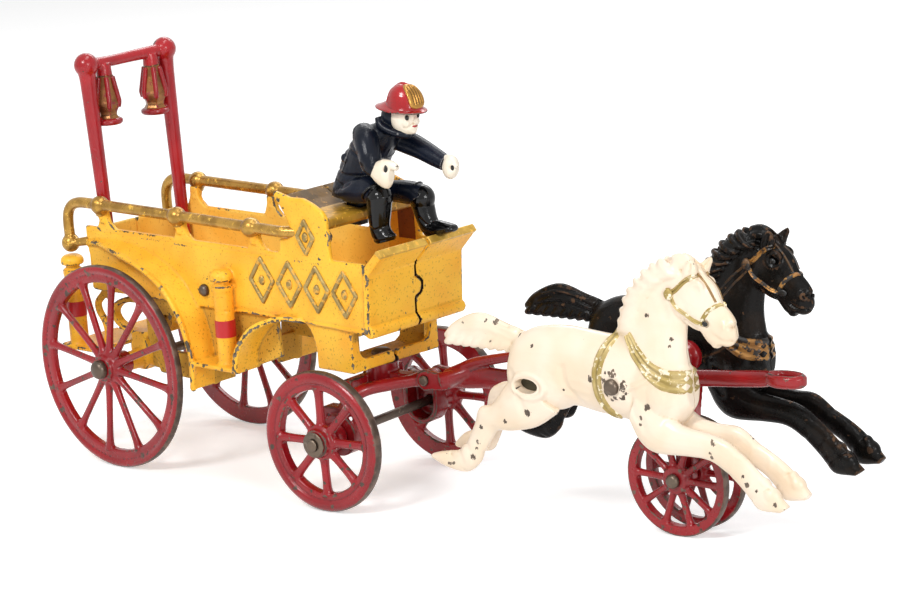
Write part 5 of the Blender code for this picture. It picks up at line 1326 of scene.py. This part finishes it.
def horse_shapes():
    """Everything that fuses into the whole horse before it is carved, pierced and halved."""
    shapes = [
        limb(TRUNK, 0, 28), limb(NECK, 0, 24), limb(HEAD, 0, 24), limb(TAIL, 0, 20),
        limb(NEAR_EAR, -2.9, 16), limb(FAR_EAR, 2.9, 16),
        *[limb(sections, y, 16) for sections, y in LEGS],
        ball((156.0, 0, 89.6), (6.4, 4.9, 6.2), tilt_deg=20),
        ball((171.0, 0, 80.6), (4.4, 3.7, 4.6), tilt_deg=-20),
        ball((98.0, 0, 60.0), (14.0, 8.8, 13.5), tilt_deg=30),
        ball((146.0, 0, 58.0), (10.0, 8.6, 12.0), tilt_deg=-20),
        ball((167.2, 0, 76.6), (1.9, 2.4, 1.5), 16, 10),
    ]
    # Brows, nostrils and eyelids
    for side in (-1, 1):
        shapes.append(ball((163.6, side * 3.9, 97.4), (2.5, 0.95, 1.5), 18, 10, 30))
        shapes.append(ball((172.6, side * 2.6, 83.2), (2.2, 1.3, 1.7), 16, 10, 30))
        ring = [(162.2 + 2.7 * math.cos(t), side * (4.15 - 0.35 * math.cos(t)), 95.2 + 2.2 * math.sin(t))
                for t in turns(20, 21)]
        shapes.append(rod(ring, 0.5, 10, 1))
    # Locks of the mane, and the forelock
    for k, (edge, ahead, out) in enumerate(along_crest(4)):
        wide = 1.9 + 0.25 * math.sin(2.4 * k)
        for side in (-1, 1):
            over = Vector((0, side, 0))
            shapes.append(rod([
                edge - out * (8.4 - 0.4 * k) + ahead * 5.4 + over * 4.3,
                edge - out * 4.6 + ahead * 2.4 + over * 4.1, edge - out * 1.4 + over * 3.0,
                edge + out * 0.9 - ahead * 2.0 + over * 1.2], [0.8, wide, wide, 1.3], 14, 4))
    shapes.append(rod([(151.4, 0, 104.0), (155.6, 0, 104.6), (160.0, 0, 102.4), (163.4, 0, 99.4)],
                      [2.1, 2.3, 2.1, 0.9], 14))
    for side in (-1, 1):
        shapes.append(rod([(152.6, side * 2.4, 102.6), (156.6, side * 1.8, 103.6),
                           (160.6, side * 1.4, 101.2)], [1.6, 1.7, 1.0], 12))
    # Strands under the tail
    for k in range(8):
        part = k / 7
        x = 80.0 - 27.0 * part
        for y in (-1.5, 1.5):
            shapes.append(rod([(x + 6.0, y, 71.0 + 1.4 * part), (x + 1.6, y * 1.1, 67.8),
                               (x - 1.4, y, 65.9 + 0.5 * part)],
                              [0.9, 1.75, 0.9], 12, 4))
    # Fetlocks, and swellings round the fore hooves
    for sections, y in LEGS:
        for index, swell in ((-5, 1.12), (-4, 1.16)):
            tx, tz, lx, lz, half = sections[index]
            reach = math.hypot(tx - lx, tz - lz) / 2
            middle = ((tx + lx) / 2, y, (tz + lz) / 2)
            shapes.append(ball(middle, (reach * 0.8, half * swell, reach), 18, 12))
    for x, y, z, radii in ((189.2, -4.6, 27.6, (4.2, 2.7, 3.1)), (183.0, -4.6, 26.0, (2.2, 2.2, 2.0)),
                           (186.6, -4.4, 31.4, (2.6, 2.2, 1.9)), (193.6, 4.6, 29.6, (3.6, 2.6, 2.8)),
                           (188.4, 4.6, 27.8, (2.2, 2.1, 1.9)), (192.2, 4.4, 32.6, (2.0, 1.9, 1.5))):
        shapes.append(ball((x, y, z), radii, 18, 12, 38))
    # Boss round the rivet, and the raised rim of the haunch hole
    rx, rz = TEAM_RIVET
    shapes.append(turned_y([(3.9, -8.8), (4.6, -8.4), (5.2, -6.5), (5.2, 6.5), (4.6, 8.4), (3.9, 8.8)], rx,
                           rz, 36))
    hx, hz = HAUNCH_HOLE
    shapes.append(ball((hx + 1.4, -7.0, hz - 0.2), (8.2, 1.9, 6.0), 28, 12))
    lip = [(hx + 0.8 + 6.7 * math.cos(t), -8.2, hz - 0.1 + 4.3 * math.sin(t)) for t in turns(28, 29)]
    shapes.append(rod(lip, 1.15, 12, 1))
    return shapes


def carve_horse(body):
    """Mouth, jaw, eyes, nostrils, mane and tail locks, muscles, ribs, ears and hooves."""
    for side in (-1, 1):
        press(body, [[(174.0, 78.2), (171.1, 78.4), (167.6, 80.1)]], 0.55, -1.0, side)
        press(body, [[(163.0, 77.6), (160.4, 81.4), (156.4, 84.4)]], 0.6, -0.6, side)
        dent(body, [(162.2, 95.2, 1.9, -0.5), (173.9, 83.2, 0.9, -1.3), (165.1, 84.1, 1.2, -1.0)], side)
        grooves = []
        for edge, ahead, out in along_crest(6):
            grooves.append([((edge + out * part).x + (ahead * lead).x,
                             (edge + out * part).z + (ahead * lead).z)
                            for part, lead in ((0.6, -1.4), (-3.6, 1.6), (-7.4, 5.0))])
        press(body, grooves, 0.45, -0.6, side)
        press(body, [
            [(82.0, 71.6), (74.0, 74.2), (66.0, 74.8), (58.0, 72.0)],
            [(82.6, 69.4), (74.0, 71.4), (66.0, 72.0), (57.0, 70.0)],
            [(80.0, 74.6), (73.0, 76.2), (66.0, 76.8), (60.0, 75.2)],
        ], 0.5, -0.6, side)
        press(body, [[(85.4, 74.0), (82.6, 70.4), (80.8, 66.6)]], 0.5, -0.6, side)
        press(body, [
            [(112.0, 52.0), (108.0, 58.0), (107.0, 64.0)],
            [(139.0, 68.0), (136.0, 60.0), (137.0, 52.0), (141.0, 47.0)],
            [(84.6, 60.0), (88.0, 52.0), (90.0, 46.0)], [(152.6, 60.0), (151.4, 54.0), (148.0, 49.6)],
            [(149.6, 96.6), (148.4, 90.4), (149.6, 85.0)],
        ], 1.6, -0.55, side)
        press(body, [[(132.4, 58.8), (140.3, 61.7), (145.7, 65.5)]], 0.75, 0.7, side)
        for k in range(4):
            z = 52.0 + 3.4 * k
            press(body, [[(108.0 + 1.6 * k, z), (116.0 + 1.4 * k, z - 1.4)]], 1.3, -0.16, side)
    press(body, [[(159.2, 100.2), (160.0, 102.4), (160.4, 104.2)]], 0.9, -1.0, -1)
    press(body, [[(161.4, 1.6, 101.0), (162.6, 1.6, 103.0), (163.8, 1.8, 104.6)]], 0.9, -0.8)
    for sections, y in LEGS:
        tx, tz, lx, lz, _ = sections[-3]
        press(body, [[(tx, y + off, tz), (lx, y + off, lz)] for off in (-1.6, 1.6)], 0.6, -0.5)
        tx, tz, lx, lz, _ = sections[-5]
        press(body, [[(tx, y, tz), (lx, y, lz)]], 1.0, -0.2)


def strap(name, points, halves, skin, place, side, proud, ribs=1):
    """Strap cast on the skin with raised ribs along it: its line is given as (x, z), with half widths."""
    if not hasattr(halves, "__len__"):
        halves = [halves] * len(points)
    line = through([(*p, h) for p, h in zip(points, halves)], 8)
    run = np.concatenate([[0.0], np.cumsum(np.hypot(*np.diff(line[:, :2], axis=0).T))])
    at = np.linspace(0.0, run[-1], int(run[-1] / 0.6) + 2)
    line = np.stack([np.interp(at, run, line[:, k]) for k in range(3)], axis=1)
    way = np.gradient(line[:, :2], axis=0)
    way /= np.linalg.norm(way, axis=1)[:, None]
    across = np.linspace(-1.0, 1.0, 6 * ribs + 5)
    points = np.empty((len(line), len(across), 3))
    normals = np.empty_like(points)
    for i, ((x, z, half), (dx, dz)) in enumerate(zip(line, way)):
        for k, u in enumerate(across):
            px, pz = x - dz * half * u, z + dx * half * u
            hit, normal, _, _ = skin.ray_cast(Vector((px, side * 30.0, pz)) * MM, Vector((0, -side, 0)))
            if hit is None:
                hit, normal, _, _ = skin.find_nearest(Vector((px, side * 0.8, pz)) * MM)
            points[i, k] = hit / MM
            normals[i, k] = normal
    for _ in range(3):
        for values in (points, normals):
            values[1:-1] = (values[:-2] + 2 * values[1:-1] + values[2:]) / 4
    normals /= np.linalg.norm(normals, axis=2)[:, :, None]
    lift = proud * (0.5 - 0.5 * np.cos(math.pi * ribs * (across + 1)))
    lift[1:-1] += 0.25 * proud
    top = points + normals * lift[None, :, None]
    under = points - normals * 0.6
    for values in (top, under):
        values[:, :, 1] = side * np.maximum(side * values[:, :, 1], SEAM)
    rings = [[Vector(p) for p in (*upper, *lower[::-1])] for upper, lower in zip(top, under)]
    piece = raw_object(name, [loft(rings)], place)
    mark_bend(piece, 1)
    shade(piece, 70)
    return piece


BROWBAND = [(151.8, 93.6), (154.1, 94.8), (156.6, 97.2), (159.6, 99.2), (162.2, 100.2)]
FOREHEAD = [(162.9, 100.7), (165.8, 96.8), (169.0, 91.6)]
CHEEK = [(151.5, 93.4), (153.4, 90.0), (157.4, 87.2), (160.9, 84.8), (164.3, 83.7)]
NOSEBAND = [(163.9, 85.0), (166.7, 88.7), (170.1, 90.8), (171.9, 90.9)]
GIRTH = [(127.3, 77.4), (125.0, 72.9), (123.0, 67.3), (122.2, 61.7), (122.7, 55.2), (124.6, 50.6),
         (127.4, 46.9)]
COLLAR = [(133.8, 77.8), (138.2, 72.0), (143.4, 66.8), (149.4, 63.8), (154.2, 62.9), (157.2, 62.7)]
REINS = [[(150.6, 92.8), (144.9, 88.2), (139.8, 82.8)], [(151.8, 91.2), (146.4, 86.4), (141.4, 81.0)]]
WHITE_CHIPS = [
    (142.5, 85.3, 1.0), (151.3, 77.5, 0.9), (150.4, 75.1, 0.8), (119.6, 61.3, 1.7), (142.3, 53.7, 1.4),
    (140.0, 49.8, 0.9), (139.6, 47.5, 0.8), (94.1, 70.4, 0.8), (91.5, 46.1, 1.8), (80.9, 41.8, 1.1),
    (69.4, 38.3, 1.0), (67.4, 32.4, 1.0), (64.7, 26.8, 1.3), (66.7, 30.0, 0.9), (54.3, 23.2, 0.9),
    (56.0, 23.6, 0.7), (60.7, 74.5, 0.6), (74.6, 75.9, 1.2), (70.8, 76.4, 0.9), (71.2, 71.6, 0.6),
    (73.0, 69.0, 0.6), (67.2, 79.5, 0.9), (85.8, 72.3, 0.7), (167.8, 44.1, 1.3), (166.8, 40.3, 0.8),
    (167.2, 38.8, 0.9), (180.6, 30.9, 1.1), (179.3, 33.4, 0.8), (184.5, 29.3, 0.7), (191.6, 25.3, 0.9),
    (197.4, 24.9, 0.8), (199.6, 26.1, 0.6), (196.5, 31.4, 0.7), (106.7, 55.8, 0.6), (125.6, 57.0, 0.9),
    (124.6, 61.8, 1.0), (126.0, 64.2, 0.9), (132.6, 56.2, 1.1), (133.8, 62.0, 0.8), (129.4, 65.4, 0.8),
    (128.2, 54.8, 0.9),
]


def harness(colour, skin, place, slot):
    """Straps of one horse, in gold over cream or in worn bronze over black."""
    white = colour == "white"
    gold, thin = (HARNESS_GOLD, HARNESS_TAN) if white else (HARNESS_BRONZE, HARNESS_BROWN)
    parts = [
        ("girth", GIRTH, 2.15, 0.6, 2, gold),
        ("breast_collar", COLLAR, [1.9, 2.4, 2.8, 3.5, 4.0, 4.3], 0.6, 3, gold),
        ("browband", BROWBAND, 0.95, 0.45, 2, gold),
        ("cheek_strap", CHEEK, 0.85, 0.45, 2, gold),
        ("noseband", NOSEBAND, 0.8, 0.45, 1, gold),
    ]
    bit = (1.1, 0.5, 0.9) if white else (1.9, 0.5, 1.3)
    if not white:
        parts += [("rein_line_%d" % (i + 1), line, 0.45, 0.35, 1, thin) for i, line in enumerate(REINS)]
    for side, word in SIDES:
        for part, line, halves, proud, ribs, finish in parts:
            fit(strap("%s_horse_%s_%s" % (colour, part, word), line, halves, skin, place, side, proud, ribs),
                finish, "team", slot)
        brow = [skin.find_nearest(Vector((x, side * 2.2, z)) * MM)[0] / MM for x, z in through(FOREHEAD, 6)]
        for part, shape, finish in (
            ("forehead_strap", rod([tuple(p) for p in brow], 0.42, 10, 1), thin),
            ("bridle_boss", ball((151.5, side * 4.7, 93.4), (1.8, 1.0, 2.2), 20, 12),
             gold if white else thin),
            ("bit_ring", ball((165.1, side * 3.75, 84.1), bit, 18, 10), INK_AND_HOLE_SHADE),
            ("eye", ball((162.2, side * 4.15, 95.2), (1.25, 0.7, 1.05), 20, 12, 20), INK_AND_HOLE_SHADE),
        ):
            if white and part == "eye":
                continue
            fit(machined_piece("%s_horse_%s_%s" % (colour, part, word), [shape], place), finish, "team", slot)


def horses():
    whole = cast_piece("horse", horse_shapes(), TRUCK, grain=0.42, soften=3)
    carve_horse(whole)
    rx, rz = TEAM_RIVET
    hx, hz = HAUNCH_HOLE
    pierced = prism([(hx + a, hz + b) for a, b in circle(5.0, 32, 0.54)], "y", -14, -4.6)
    bored = turned_y([(1.8, -12), (1.8, 12)], rx, rz, 24)
    cut_away(whole, [raw_object("haunch_hole", [pierced], TRUCK), raw_object("rivet_hole", [bored], TRUCK)])
    finish_cast(whole)
    halves = {"right": half_of(whole, "white_horse_casting_right", -1),
              "left": half_of(whole, "white_horse_casting_left", 1)}
    skin = BVHTree.FromPolygons([v.co for v in whole.data.vertices],
                                [tuple(p.vertices) for p in whole.data.polygons])
    socket = [(162.0 + 3.4 * math.cos(t), None, 95.2 + 2.8 * math.sin(t), 0.6)
              for t in np.arange(3.3, 5.6, 0.25)]
    knocks = ((1.5, 4.0, 1.4), (1.9, 5.0, 0.8), (2.7, 3.7, 1.1), (0.1, 4.4, 1.5), (5.9, 5.4, 0.9),
              (3.9, 3.8, 1.5), (4.9, 3.9, 1.2))
    around_rivet = [(rx + reach * math.cos(t), None, rz + reach * math.sin(t), radius)
                    for t, reach, radius in knocks]
    for colour, at_y, finish in (("black", HORSE_Y, BLACK), ("white", -HORSE_Y, CREAM)):
        place = TRUCK @ Matrix.Translation((0, at_y * MM, 0))
        slot = colour + "_enamel"
        for seed, (word, half) in enumerate(halves.items()):
            piece = half
            if colour == "black":
                piece = new_object("black_horse_casting_" + word, half.data.copy(), place)
                knock(piece, socket + around_rivet, 150, (0.4, 1.3), 41 + seed, 0.25)
            else:
                near = [(x, None, z, r) for x, z, r in WHITE_CHIPS] if word == "right" else []
                near += around_rivet
                fill_with_paint(piece, [
                    ([(133.6, 76.0), (137.6, 84.0), (144.0, 92.6), (153.0, 99.4)], 8.6, 22),
                    ([(160.0, 96.6), (164.6, 94.2)], 5.0, 24),
                    ([(173.6, 78.2), (168.0, 80.2)], 3.6, 12),
                    ([(171.8, 83.6), (173.4, 83.0)], 3.6, 12),
                    ([(80.0, 72.4), (66.0, 74.4), (56.0, 71.0)], 5.6, 8),
                ])
                piece.data.attributes.remove(piece.data.attributes["bend"])
                mark_bend(piece)
                knock(piece, near, 10, (0.25, 0.6), 43 + seed, 0.4)
            piece.data.transform(place)
            piece.matrix_world = Matrix.Identity(4)
            fit(piece, finish, "team", slot, "%s_horse_%s" % (colour, word))
        harness(colour, skin, place, slot)
        # Dark plate at the bottom of the haunch hole: painted shade of the hole
        shade_plate = machined_piece(colour + "_horse_haunch_hole_shade", [
            prism([(hx + a, hz + b) for a, b in circle(4.8, 32, 0.52)], "y", -4.8, -3.8)], place)
        fit(shade_plate, HOLE_SHADE, "team", slot)
    bpy.data.objects.remove(whole, do_unlink=True)
    head = HORSE_Y + 8.8 + 0.3
    profile = [(1.0, -head - 1.9), (2.2, -head - 1.6), (2.8, -head - 0.9), (2.9, -head), (1.5, -head),
               (1.5, -7.4)]
    for side, colour in ((1, "white"), (-1, "black")):
        shape = turned_y([(r, side * y) for r, y in profile], rx, rz, 32)
        steel_piece(colour + "_horse_rivet_steel", shape, TRUCK, "team", colour + "_horse_rivet")


# Driver

COAT_SEAMS = [[(118.4, 138.0), (120.4, 133.4), (121.4, 128.6), (126.0, 124.0)],
              [(112.7, 131.6), (111.2, 127.6), (107.4, 121.4)]]


def driver_coat():
    arms = [
        rod([(119.0, -6.4, 136.4), (123.4, -9.4, 134.2), (126.4, -11.4, 129.4), (128.4, -12.0, 125.6),
             (130.6, -12.0, 124.2)],
            [4.0, 4.5, 4.4, 3.8, 3.1], 20),
        rod([(122.0, 5.4, 133.0), (128.6, 7.6, 130.4), (134.6, 8.0, 128.4), (141.0, 8.0, 126.0),
             (146.0, 8.0, 124.2)],
            [4.4, 4.3, 3.9, 3.5, 3.0], 20),
    ]
    legs = [
        limb([(107.4, 115.4, 107.0, 110.6, 3.5), (112.6, 118.4, 112.4, 109.4, 4.6),
              (118.4, 119.8, 118.4, 109.8, 4.8), (124.2, 118.8, 121.2, 110.6, 4.7),
              (129.4, 115.2, 121.6, 110.2, 4.4)], -7.0, 20),
        limb([(108.0, 115.0, 108.0, 109.4, 3.5), (117.4, 115.9, 117.0, 107.9, 4.5),
              (127.0, 116.4, 123.4, 107.8, 4.6), (133.0, 115.6, 126.6, 107.6, 4.5),
              (136.8, 112.6, 128.2, 107.8, 4.2)], 7.0, 20),
    ]
    body = limb([
        (97.0, 113.2, 104.0, 109.4, 5.0), (98.9, 115.8, 110.0, 109.0, 8.0), (101.7, 122.0, 118.0, 112.6, 8.2),
        (103.8, 126.2, 121.0, 118.0, 7.8), (106.6, 129.4, 122.5, 123.0, 8.2),
        (110.5, 133.0, 124.5, 127.0, 8.8), (116.0, 136.8, 127.5, 131.0, 8.4),
        (121.5, 139.6, 130.0, 135.0, 6.4), (125.0, 141.8, 132.4, 137.0, 4.4),
    ], 0, 28)
    skirt = limb([(97.2, 112.4, 100.4, 109.2, 5.0), (103.0, 115.4, 108.6, 108.8, 9.2),
                  (111.0, 116.8, 116.6, 109.2, 10.2)], 0, 28)
    shapes = [body, skirt, *arms, *legs, ball((129.4, 0, 142.2), (4.9, 4.9, 4.6)),
              box(103.3, 109.7, -2.3, 2.3, 99.8, 112.0)]
    for side in (-1, 1):
        shapes.append(rod([(125.8, side * 4.5, 142.0), (127.2, side * 4.9, 139.0), (131.6, side * 4.0, 136.8),
                           (135.6, side * 2.0, 135.8), (137.0, 0, 135.6)], [1.5, 1.6, 1.5, 1.4, 1.3], 14))
        shapes.append(ball((109.0, side * 6.7, 125.9), (1.8, 1.3, 1.8), 18, 12))
    coat = cast_piece("driver_coat", shapes, WAGON, grain=0.3, soften=3)
    for side in (-1, 1):
        press(coat, COAT_SEAMS, 0.34, 0.32, side)
        press(coat, [[(101.6, 121.4), (108.4, 120.0), (117.0, 119.8)],
                     [(105.4, 128.6), (112.0, 130.0), (117.6, 127.4)],
                     [(103.4, 117.4), (109.6, 115.6), (114.0, 117.4)]], 0.6, -0.5, side)
        dent(coat, [(124.4, 129.4, 1.8, -0.35), (126.6, 126.0, 1.4, -0.3), (119.0, 116.4, 2.4, -0.3),
                    (112.6, 136.0, 2.2, 0.3)], side)
    press(coat, [[(128.2, 8.0, 134.6), (131.6, 9.6, 131.0), (131.0, 9.0, 126.4)]], 0.7, -0.4)
    # Pale grey lines along the raised seam ridges: rubbed paint, and painted highlights of the ridges
    seam_rub_and_highlight = [(x, None, z, 0.36) for line in COAT_SEAMS for x, z in through(line, 24)]
    knock(finish_cast(coat), seam_rub_and_highlight, 24, (0.25, 0.5), 31)
    fit(coat, NAVY, "driver", "navy_black_enamel", "driver")


def driver_boots():
    boots = cast_piece("driver_boots", [
        limb([(131.8, 114.0, 121.4, 112.0, 4.6), (130.8, 108.0, 121.5, 107.0, 4.3),
              (129.8, 102.7, 121.8, 101.6, 3.7), (131.0, 100.8, 122.2, 98.4, 3.4),
              (132.9, 99.4, 123.4, 96.2, 3.4), (132.2, 97.6, 125.0, 95.7, 3.0)], -8.0, 20),
        limb([(136.8, 112.0, 127.8, 107.8, 4.4), (137.4, 107.4, 129.8, 103.4, 4.1),
              (138.6, 103.2, 132.0, 98.4, 3.6), (141.4, 102.6, 135.2, 95.6, 3.3),
              (144.8, 102.2, 140.6, 96.4, 3.3), (147.6, 101.6, 145.4, 98.2, 3.0),
              (148.6, 100.6, 148.2, 99.2, 1.6)], 8.0, 20),
        ball((126.6, -7.8, 112.6), (5.0, 4.75, 5.2), tilt_deg=15),
        ball((132.8, 7.8, 110.4), (5.2, 4.7, 5.0), tilt_deg=25),
        rod([(120.9, -8.2, 111.0), (121.6, -11.6, 113.4), (124.4, -12.0, 116.4), (126.6, -9.4, 118.0),
             (127.4, -6.0, 118.2)],
            0.55, 10),
        rod([(126.8, 8.2, 107.4), (127.0, 11.6, 110.4), (129.6, 11.6, 114.0), (131.4, 8.6, 115.8),
             (131.8, 5.0, 115.6)], 0.55, 10),
    ], WAGON, grain=0.28, soften=2)
    press(boots, [[(123.2, 97.6), (127.0, 97.2), (132.4, 98.4)]], 0.4, -0.35, -1)
    press(boots, [[(123.6, 102.4), (126.6, 101.4), (129.6, 102.6)]], 0.6, -0.3, -1)
    press(boots, [[(134.2, 98.6), (139.6, 98.2), (146.8, 99.8)],
                  [(134.4, 103.4), (137.4, 101.2), (139.4, 103.0)]], 0.5, -0.35)
    fit(finish_cast(boots), BOOT, "driver", "navy_black_enamel")


def driver_head():
    head = cast_piece("driver_head", [
        ball((134.3, 0, 141.7), (5.6, 4.7, 6.2)), ball((135.8, 0, 138.6), (4.1, 3.5, 3.3)),
        ball((139.9, 0, 140.9), (1.25, 0.9, 1.5), 16, 10, 12),
        ball((138.3, 0, 137.1), (1.5, 1.5, 1.2), 16, 10),
        ball((138.9, 0, 139.0), (1.1, 1.5, 0.8), 16, 10), ball((137.4, -2.4, 140.2), (1.9, 1.6, 1.8), 16, 10),
        ball((137.4, 2.4, 140.2), (1.9, 1.6, 1.8), 16, 10), ball((137.4, 0, 143.8), (2.5, 3.7, 1.5), 20, 10),
    ], WAGON, grain=0.22, soften=3)
    for side, word in SIDES:
        dent(head, [(138.9, side * 2.4, 142.3, 1.1, -0.4), (139.5, side * 1.0, 140.0, 0.5, -0.2)])
        pupil = ball((138.3, side * 2.75, 142.3), (1.05, 0.7, 1.05), 20, 12)
        eye = machined_piece("driver_eye_" + word, [pupil], WAGON)
        fit(eye, INK_AND_HOLE_SHADE, "driver", "black_enamel")
    fit(finish_cast(head), SKIN, "driver", "white_enamel")
    mouth = [(138.6, -1.7, 138.8), (139.4, -0.9, 138.9), (139.7, 0, 138.85), (139.4, 0.9, 138.9),
             (138.6, 1.7, 138.8)]
    lips = machined_piece("driver_lips", [rod(mouth, [0.2, 0.42, 0.42, 0.42, 0.2], 12)], WAGON)
    fit(lips, LIP, "driver", "red_enamel")


def driver_helmet():
    flare = [(0.55, 146.0), (0.80, 145.2), (1.0, 144.6), (1.02, 145.2), (0.80, 146.0), (0.55, 147.3)]
    rings = [[(133.2 + r * 10.8 * math.cos(t), r * 7.6 * math.sin(t), z - r * math.cos(t)) for r, z in flare]
             for t in turns(64)]
    dome = [(1.1, 144.9), (1.02, 146.2), (0.97, 148.2), (0.89, 150.2), (0.75, 151.9), (0.52, 153.3),
            (0.26, 154.0), (0.03, 154.2)]
    shell = [loft(rings, True), loft([[(134.9 + 6.9 * r * a, 5.9 * r * b, z) for a, b in circle(1.0, 32)]
                                      for r, z in dome])]
    shell.append(rod([(128.3, 0, 148.4), (129.9, 0, 151.6), (132.4, 0, 153.5), (135.2, 0, 154.2),
                      (138.4, 0, 153.4)],
                     [0.5, 0.6, 0.65, 0.65, 0.5], 12))
    for k in (-2, -1, 1, 2):
        turn = k * 0.42
        shell.append(rod([(134.9 - reach * math.cos(turn), 0.86 * reach * math.sin(turn), z)
                          for reach, z in ((6.85, 147.6), (5.3, 151.4), (2.6, 153.6))], 0.38, 10))
    helmet = finish_cast(cast_piece("driver_helmet", shell, WAGON, grain=0.26, soften=2))
    knock(helmet, (), 8, (0.25, 0.5), 32, 0.5)
    fit(helmet, HELMET_RED, "driver", "red_enamel")
    badge = [limb([(136.8, 154.3, 136.0, 152.8, 1.8), (138.9, 153.6, 137.4, 151.8, 3.0),
                   (141.0, 151.2, 139.4, 150.0, 3.7), (142.1, 148.4, 140.4, 147.8, 3.9),
                   (142.3, 146.6, 140.9, 146.2, 3.4), (142.3, 145.6, 141.4, 145.4, 2.0)], 0, 24)]
    shield = cast_piece("helmet_shield", badge, WAGON, grain=0.2, soften=2)
    for y in (-1.9, -0.65, 0.65, 1.9):
        press(shield, [[(138.4, y, 153.9), (141.0, y, 151.2), (142.2, y, 147.4)]], 0.34, -0.4)
    fit(finish_cast(shield), SHIELD_GILT, "driver", "red_enamel")


def driver_hands():
    near = [limb([(128.2, 125.4, 128.6, 121.8, 2.4), (131.4, 127.6, 130.8, 119.4, 2.9),
                  (134.8, 128.4, 133.6, 117.9, 3.0), (136.4, 127.8, 135.8, 117.8, 2.6),
                  (138.4, 127.0, 137.4, 119.4, 1.6)], -12.0, 20),
            rod([(133.8, -12, 126.6), (138.0, -12, 126.6), (141.0, -11.8, 125.6)], [1.9, 1.7, 1.1], 12)]
    far = [ball((148.3, 8.0, 123.0), (3.5, 2.8, 4.6), tilt_deg=15),
           rod([(146.4, 7.8, 126.2), (149.6, 7.6, 126.0), (151.4, 7.6, 122.8)], [1.4, 1.6, 1.1], 12)]
    for shapes, word, hole in ((near, "right", (136.6, -14.3, 125.2)), (far, "left", (150.4, 6.0, 123.2))):
        hand = cast_piece("driver_hand_" + word, shapes, WAGON, grain=0.24, soften=3)
        dent(hand, [(*hole, 1.0, -0.9)])
        knock(finish_cast(hand), (), 8, (0.2, 0.5), 33, 0.5)
        fit(hand, SKIN, "driver", "white_enamel")
        # Black dot in the dent of the rein hole: painted shade of the hole
        dot = ball((hole[0], hole[1] + 0.75, hole[2]), (0.85, 0.6, 1.7), 16, 12, 8)
        mark = machined_piece("rein_hole_shade_" + word, [dot], WAGON)
        fit(mark, INK_AND_HOLE_SHADE, "driver", "black_enamel")


wagon_body()
ornaments()
rivet_and_king_pin()
lamp_arch()
wheels()
axles()
front_truck()
pole()
horses()
driver_coat()
driver_boots()
driver_head()
driver_helmet()
driver_hands()


# Studio

def look_matrix(eye, target, roll):
    """Place of a camera or lamp at eye that looks at the target, rolled by an angle."""
    toward = (eye - target).normalized()
    right = Vector((0, 0, 1)).cross(toward).normalized()
    up = toward.cross(right)
    r = right * math.cos(roll) + up * math.sin(roll)
    u = -right * math.sin(roll) + up * math.cos(roll)
    return Matrix(((r.x, u.x, toward.x, eye.x), (r.y, u.y, toward.y, eye.y), (r.z, u.z, toward.z, eye.z),
                   (0, 0, 0, 1)))


def seen_rays(tree):
    """One for what the eye, a mirror or a pane shows, and zero for light that falls on the toy."""
    rays = add(tree, "LightPath").outputs
    shown = add(tree, "Math", {0: rays["Is Camera Ray"], 1: rays["Is Glossy Ray"]}, operation="MAXIMUM")
    return add(tree, "Math", {0: shown, 1: rays["Is Transmission Ray"]}, operation="MAXIMUM")


def studio():
    scene = bpy.context.scene
    turn = CAMERA_TURN
    rise = CAMERA_RISE
    target = Vector((154.5 - ORIGIN[0], -ORIGIN[1], 75.9)) * MM
    back = Vector((math.cos(rise) * math.sin(turn), -math.cos(rise) * math.cos(turn), math.sin(rise)))
    data = bpy.data.cameras.new("photo_view")
    data.lens = CAMERA_LENS
    data.sensor_width = 36.0
    data.clip_start = 0.05
    data.clip_end = 50.0
    scene.camera = new_object("photo_view", data,
                              look_matrix(target + back * CAMERA_GAP, target, CAMERA_ROLL))

    world = bpy.data.worlds.new("white_cove")
    world.use_nodes = True
    tree = world.node_tree
    tree.nodes.clear()
    seen = seen_rays(tree)
    plain = add(tree, "Background", {"Color": (1, 1, 1, 1), "Strength": WORLD_LIGHT})
    white = add(tree, "Background", {"Color": (1, 1, 1, 1), "Strength": 1.0})
    mixed = add(tree, "MixShader", {0: seen, 1: plain, 2: white})
    add(tree, "OutputWorld", {0: mixed})
    scene.world = world

    floor = raw_object("studio_floor", [box(-4000, 4000, -4000, 4000, -2.0, -0.02)], Matrix.Identity(4))
    made = bpy.data.materials.new("white_paper_floor")
    made.use_nodes = True
    tree = made.node_tree
    shader = tree.nodes["Principled BSDF"]
    shader.inputs["Base Color"].default_value = linear("#F4F4F4")
    shader.inputs["Roughness"].default_value = 0.9
    seen = seen_rays(tree)
    glow = add(tree, "Math", {0: seen, 1: FLOOR_GLOW}, operation="MULTIPLY")
    glow = add(tree, "Emission", {"Color": (1, 1, 1, 1), "Strength": glow})
    both = add(tree, "AddShader", {0: shader, 1: glow})
    tree.links.new(both.outputs[0], tree.nodes["Material Output"].inputs["Surface"])
    floor.data.materials.append(made)

    def lamp(name, place, size, watts):
        light = bpy.data.lights.new(name, "AREA")
        light.shape = "RECTANGLE"
        light.size, light.size_y = size
        light.energy = watts
        new_object(name, light, look_matrix(Vector(place), Vector((0, 0, 0.07)), 0.0))

    lamp("key_softbox", (0.1, -1.1, 1.0), (0.4, 0.32), 10.5)
    lamp("front_softbox", (1.2, -0.55, 0.5), (0.4, 0.4), 7.0)
    lamp("top_softbox", (0.1, 0.05, 1.35), (0.8, 0.3), 4.5)
    lamp("back_strip", (-0.5, 0.9, 0.9), (1.0, 0.25), 4.5)
    scene.view_settings.view_transform = "Standard"


studio()
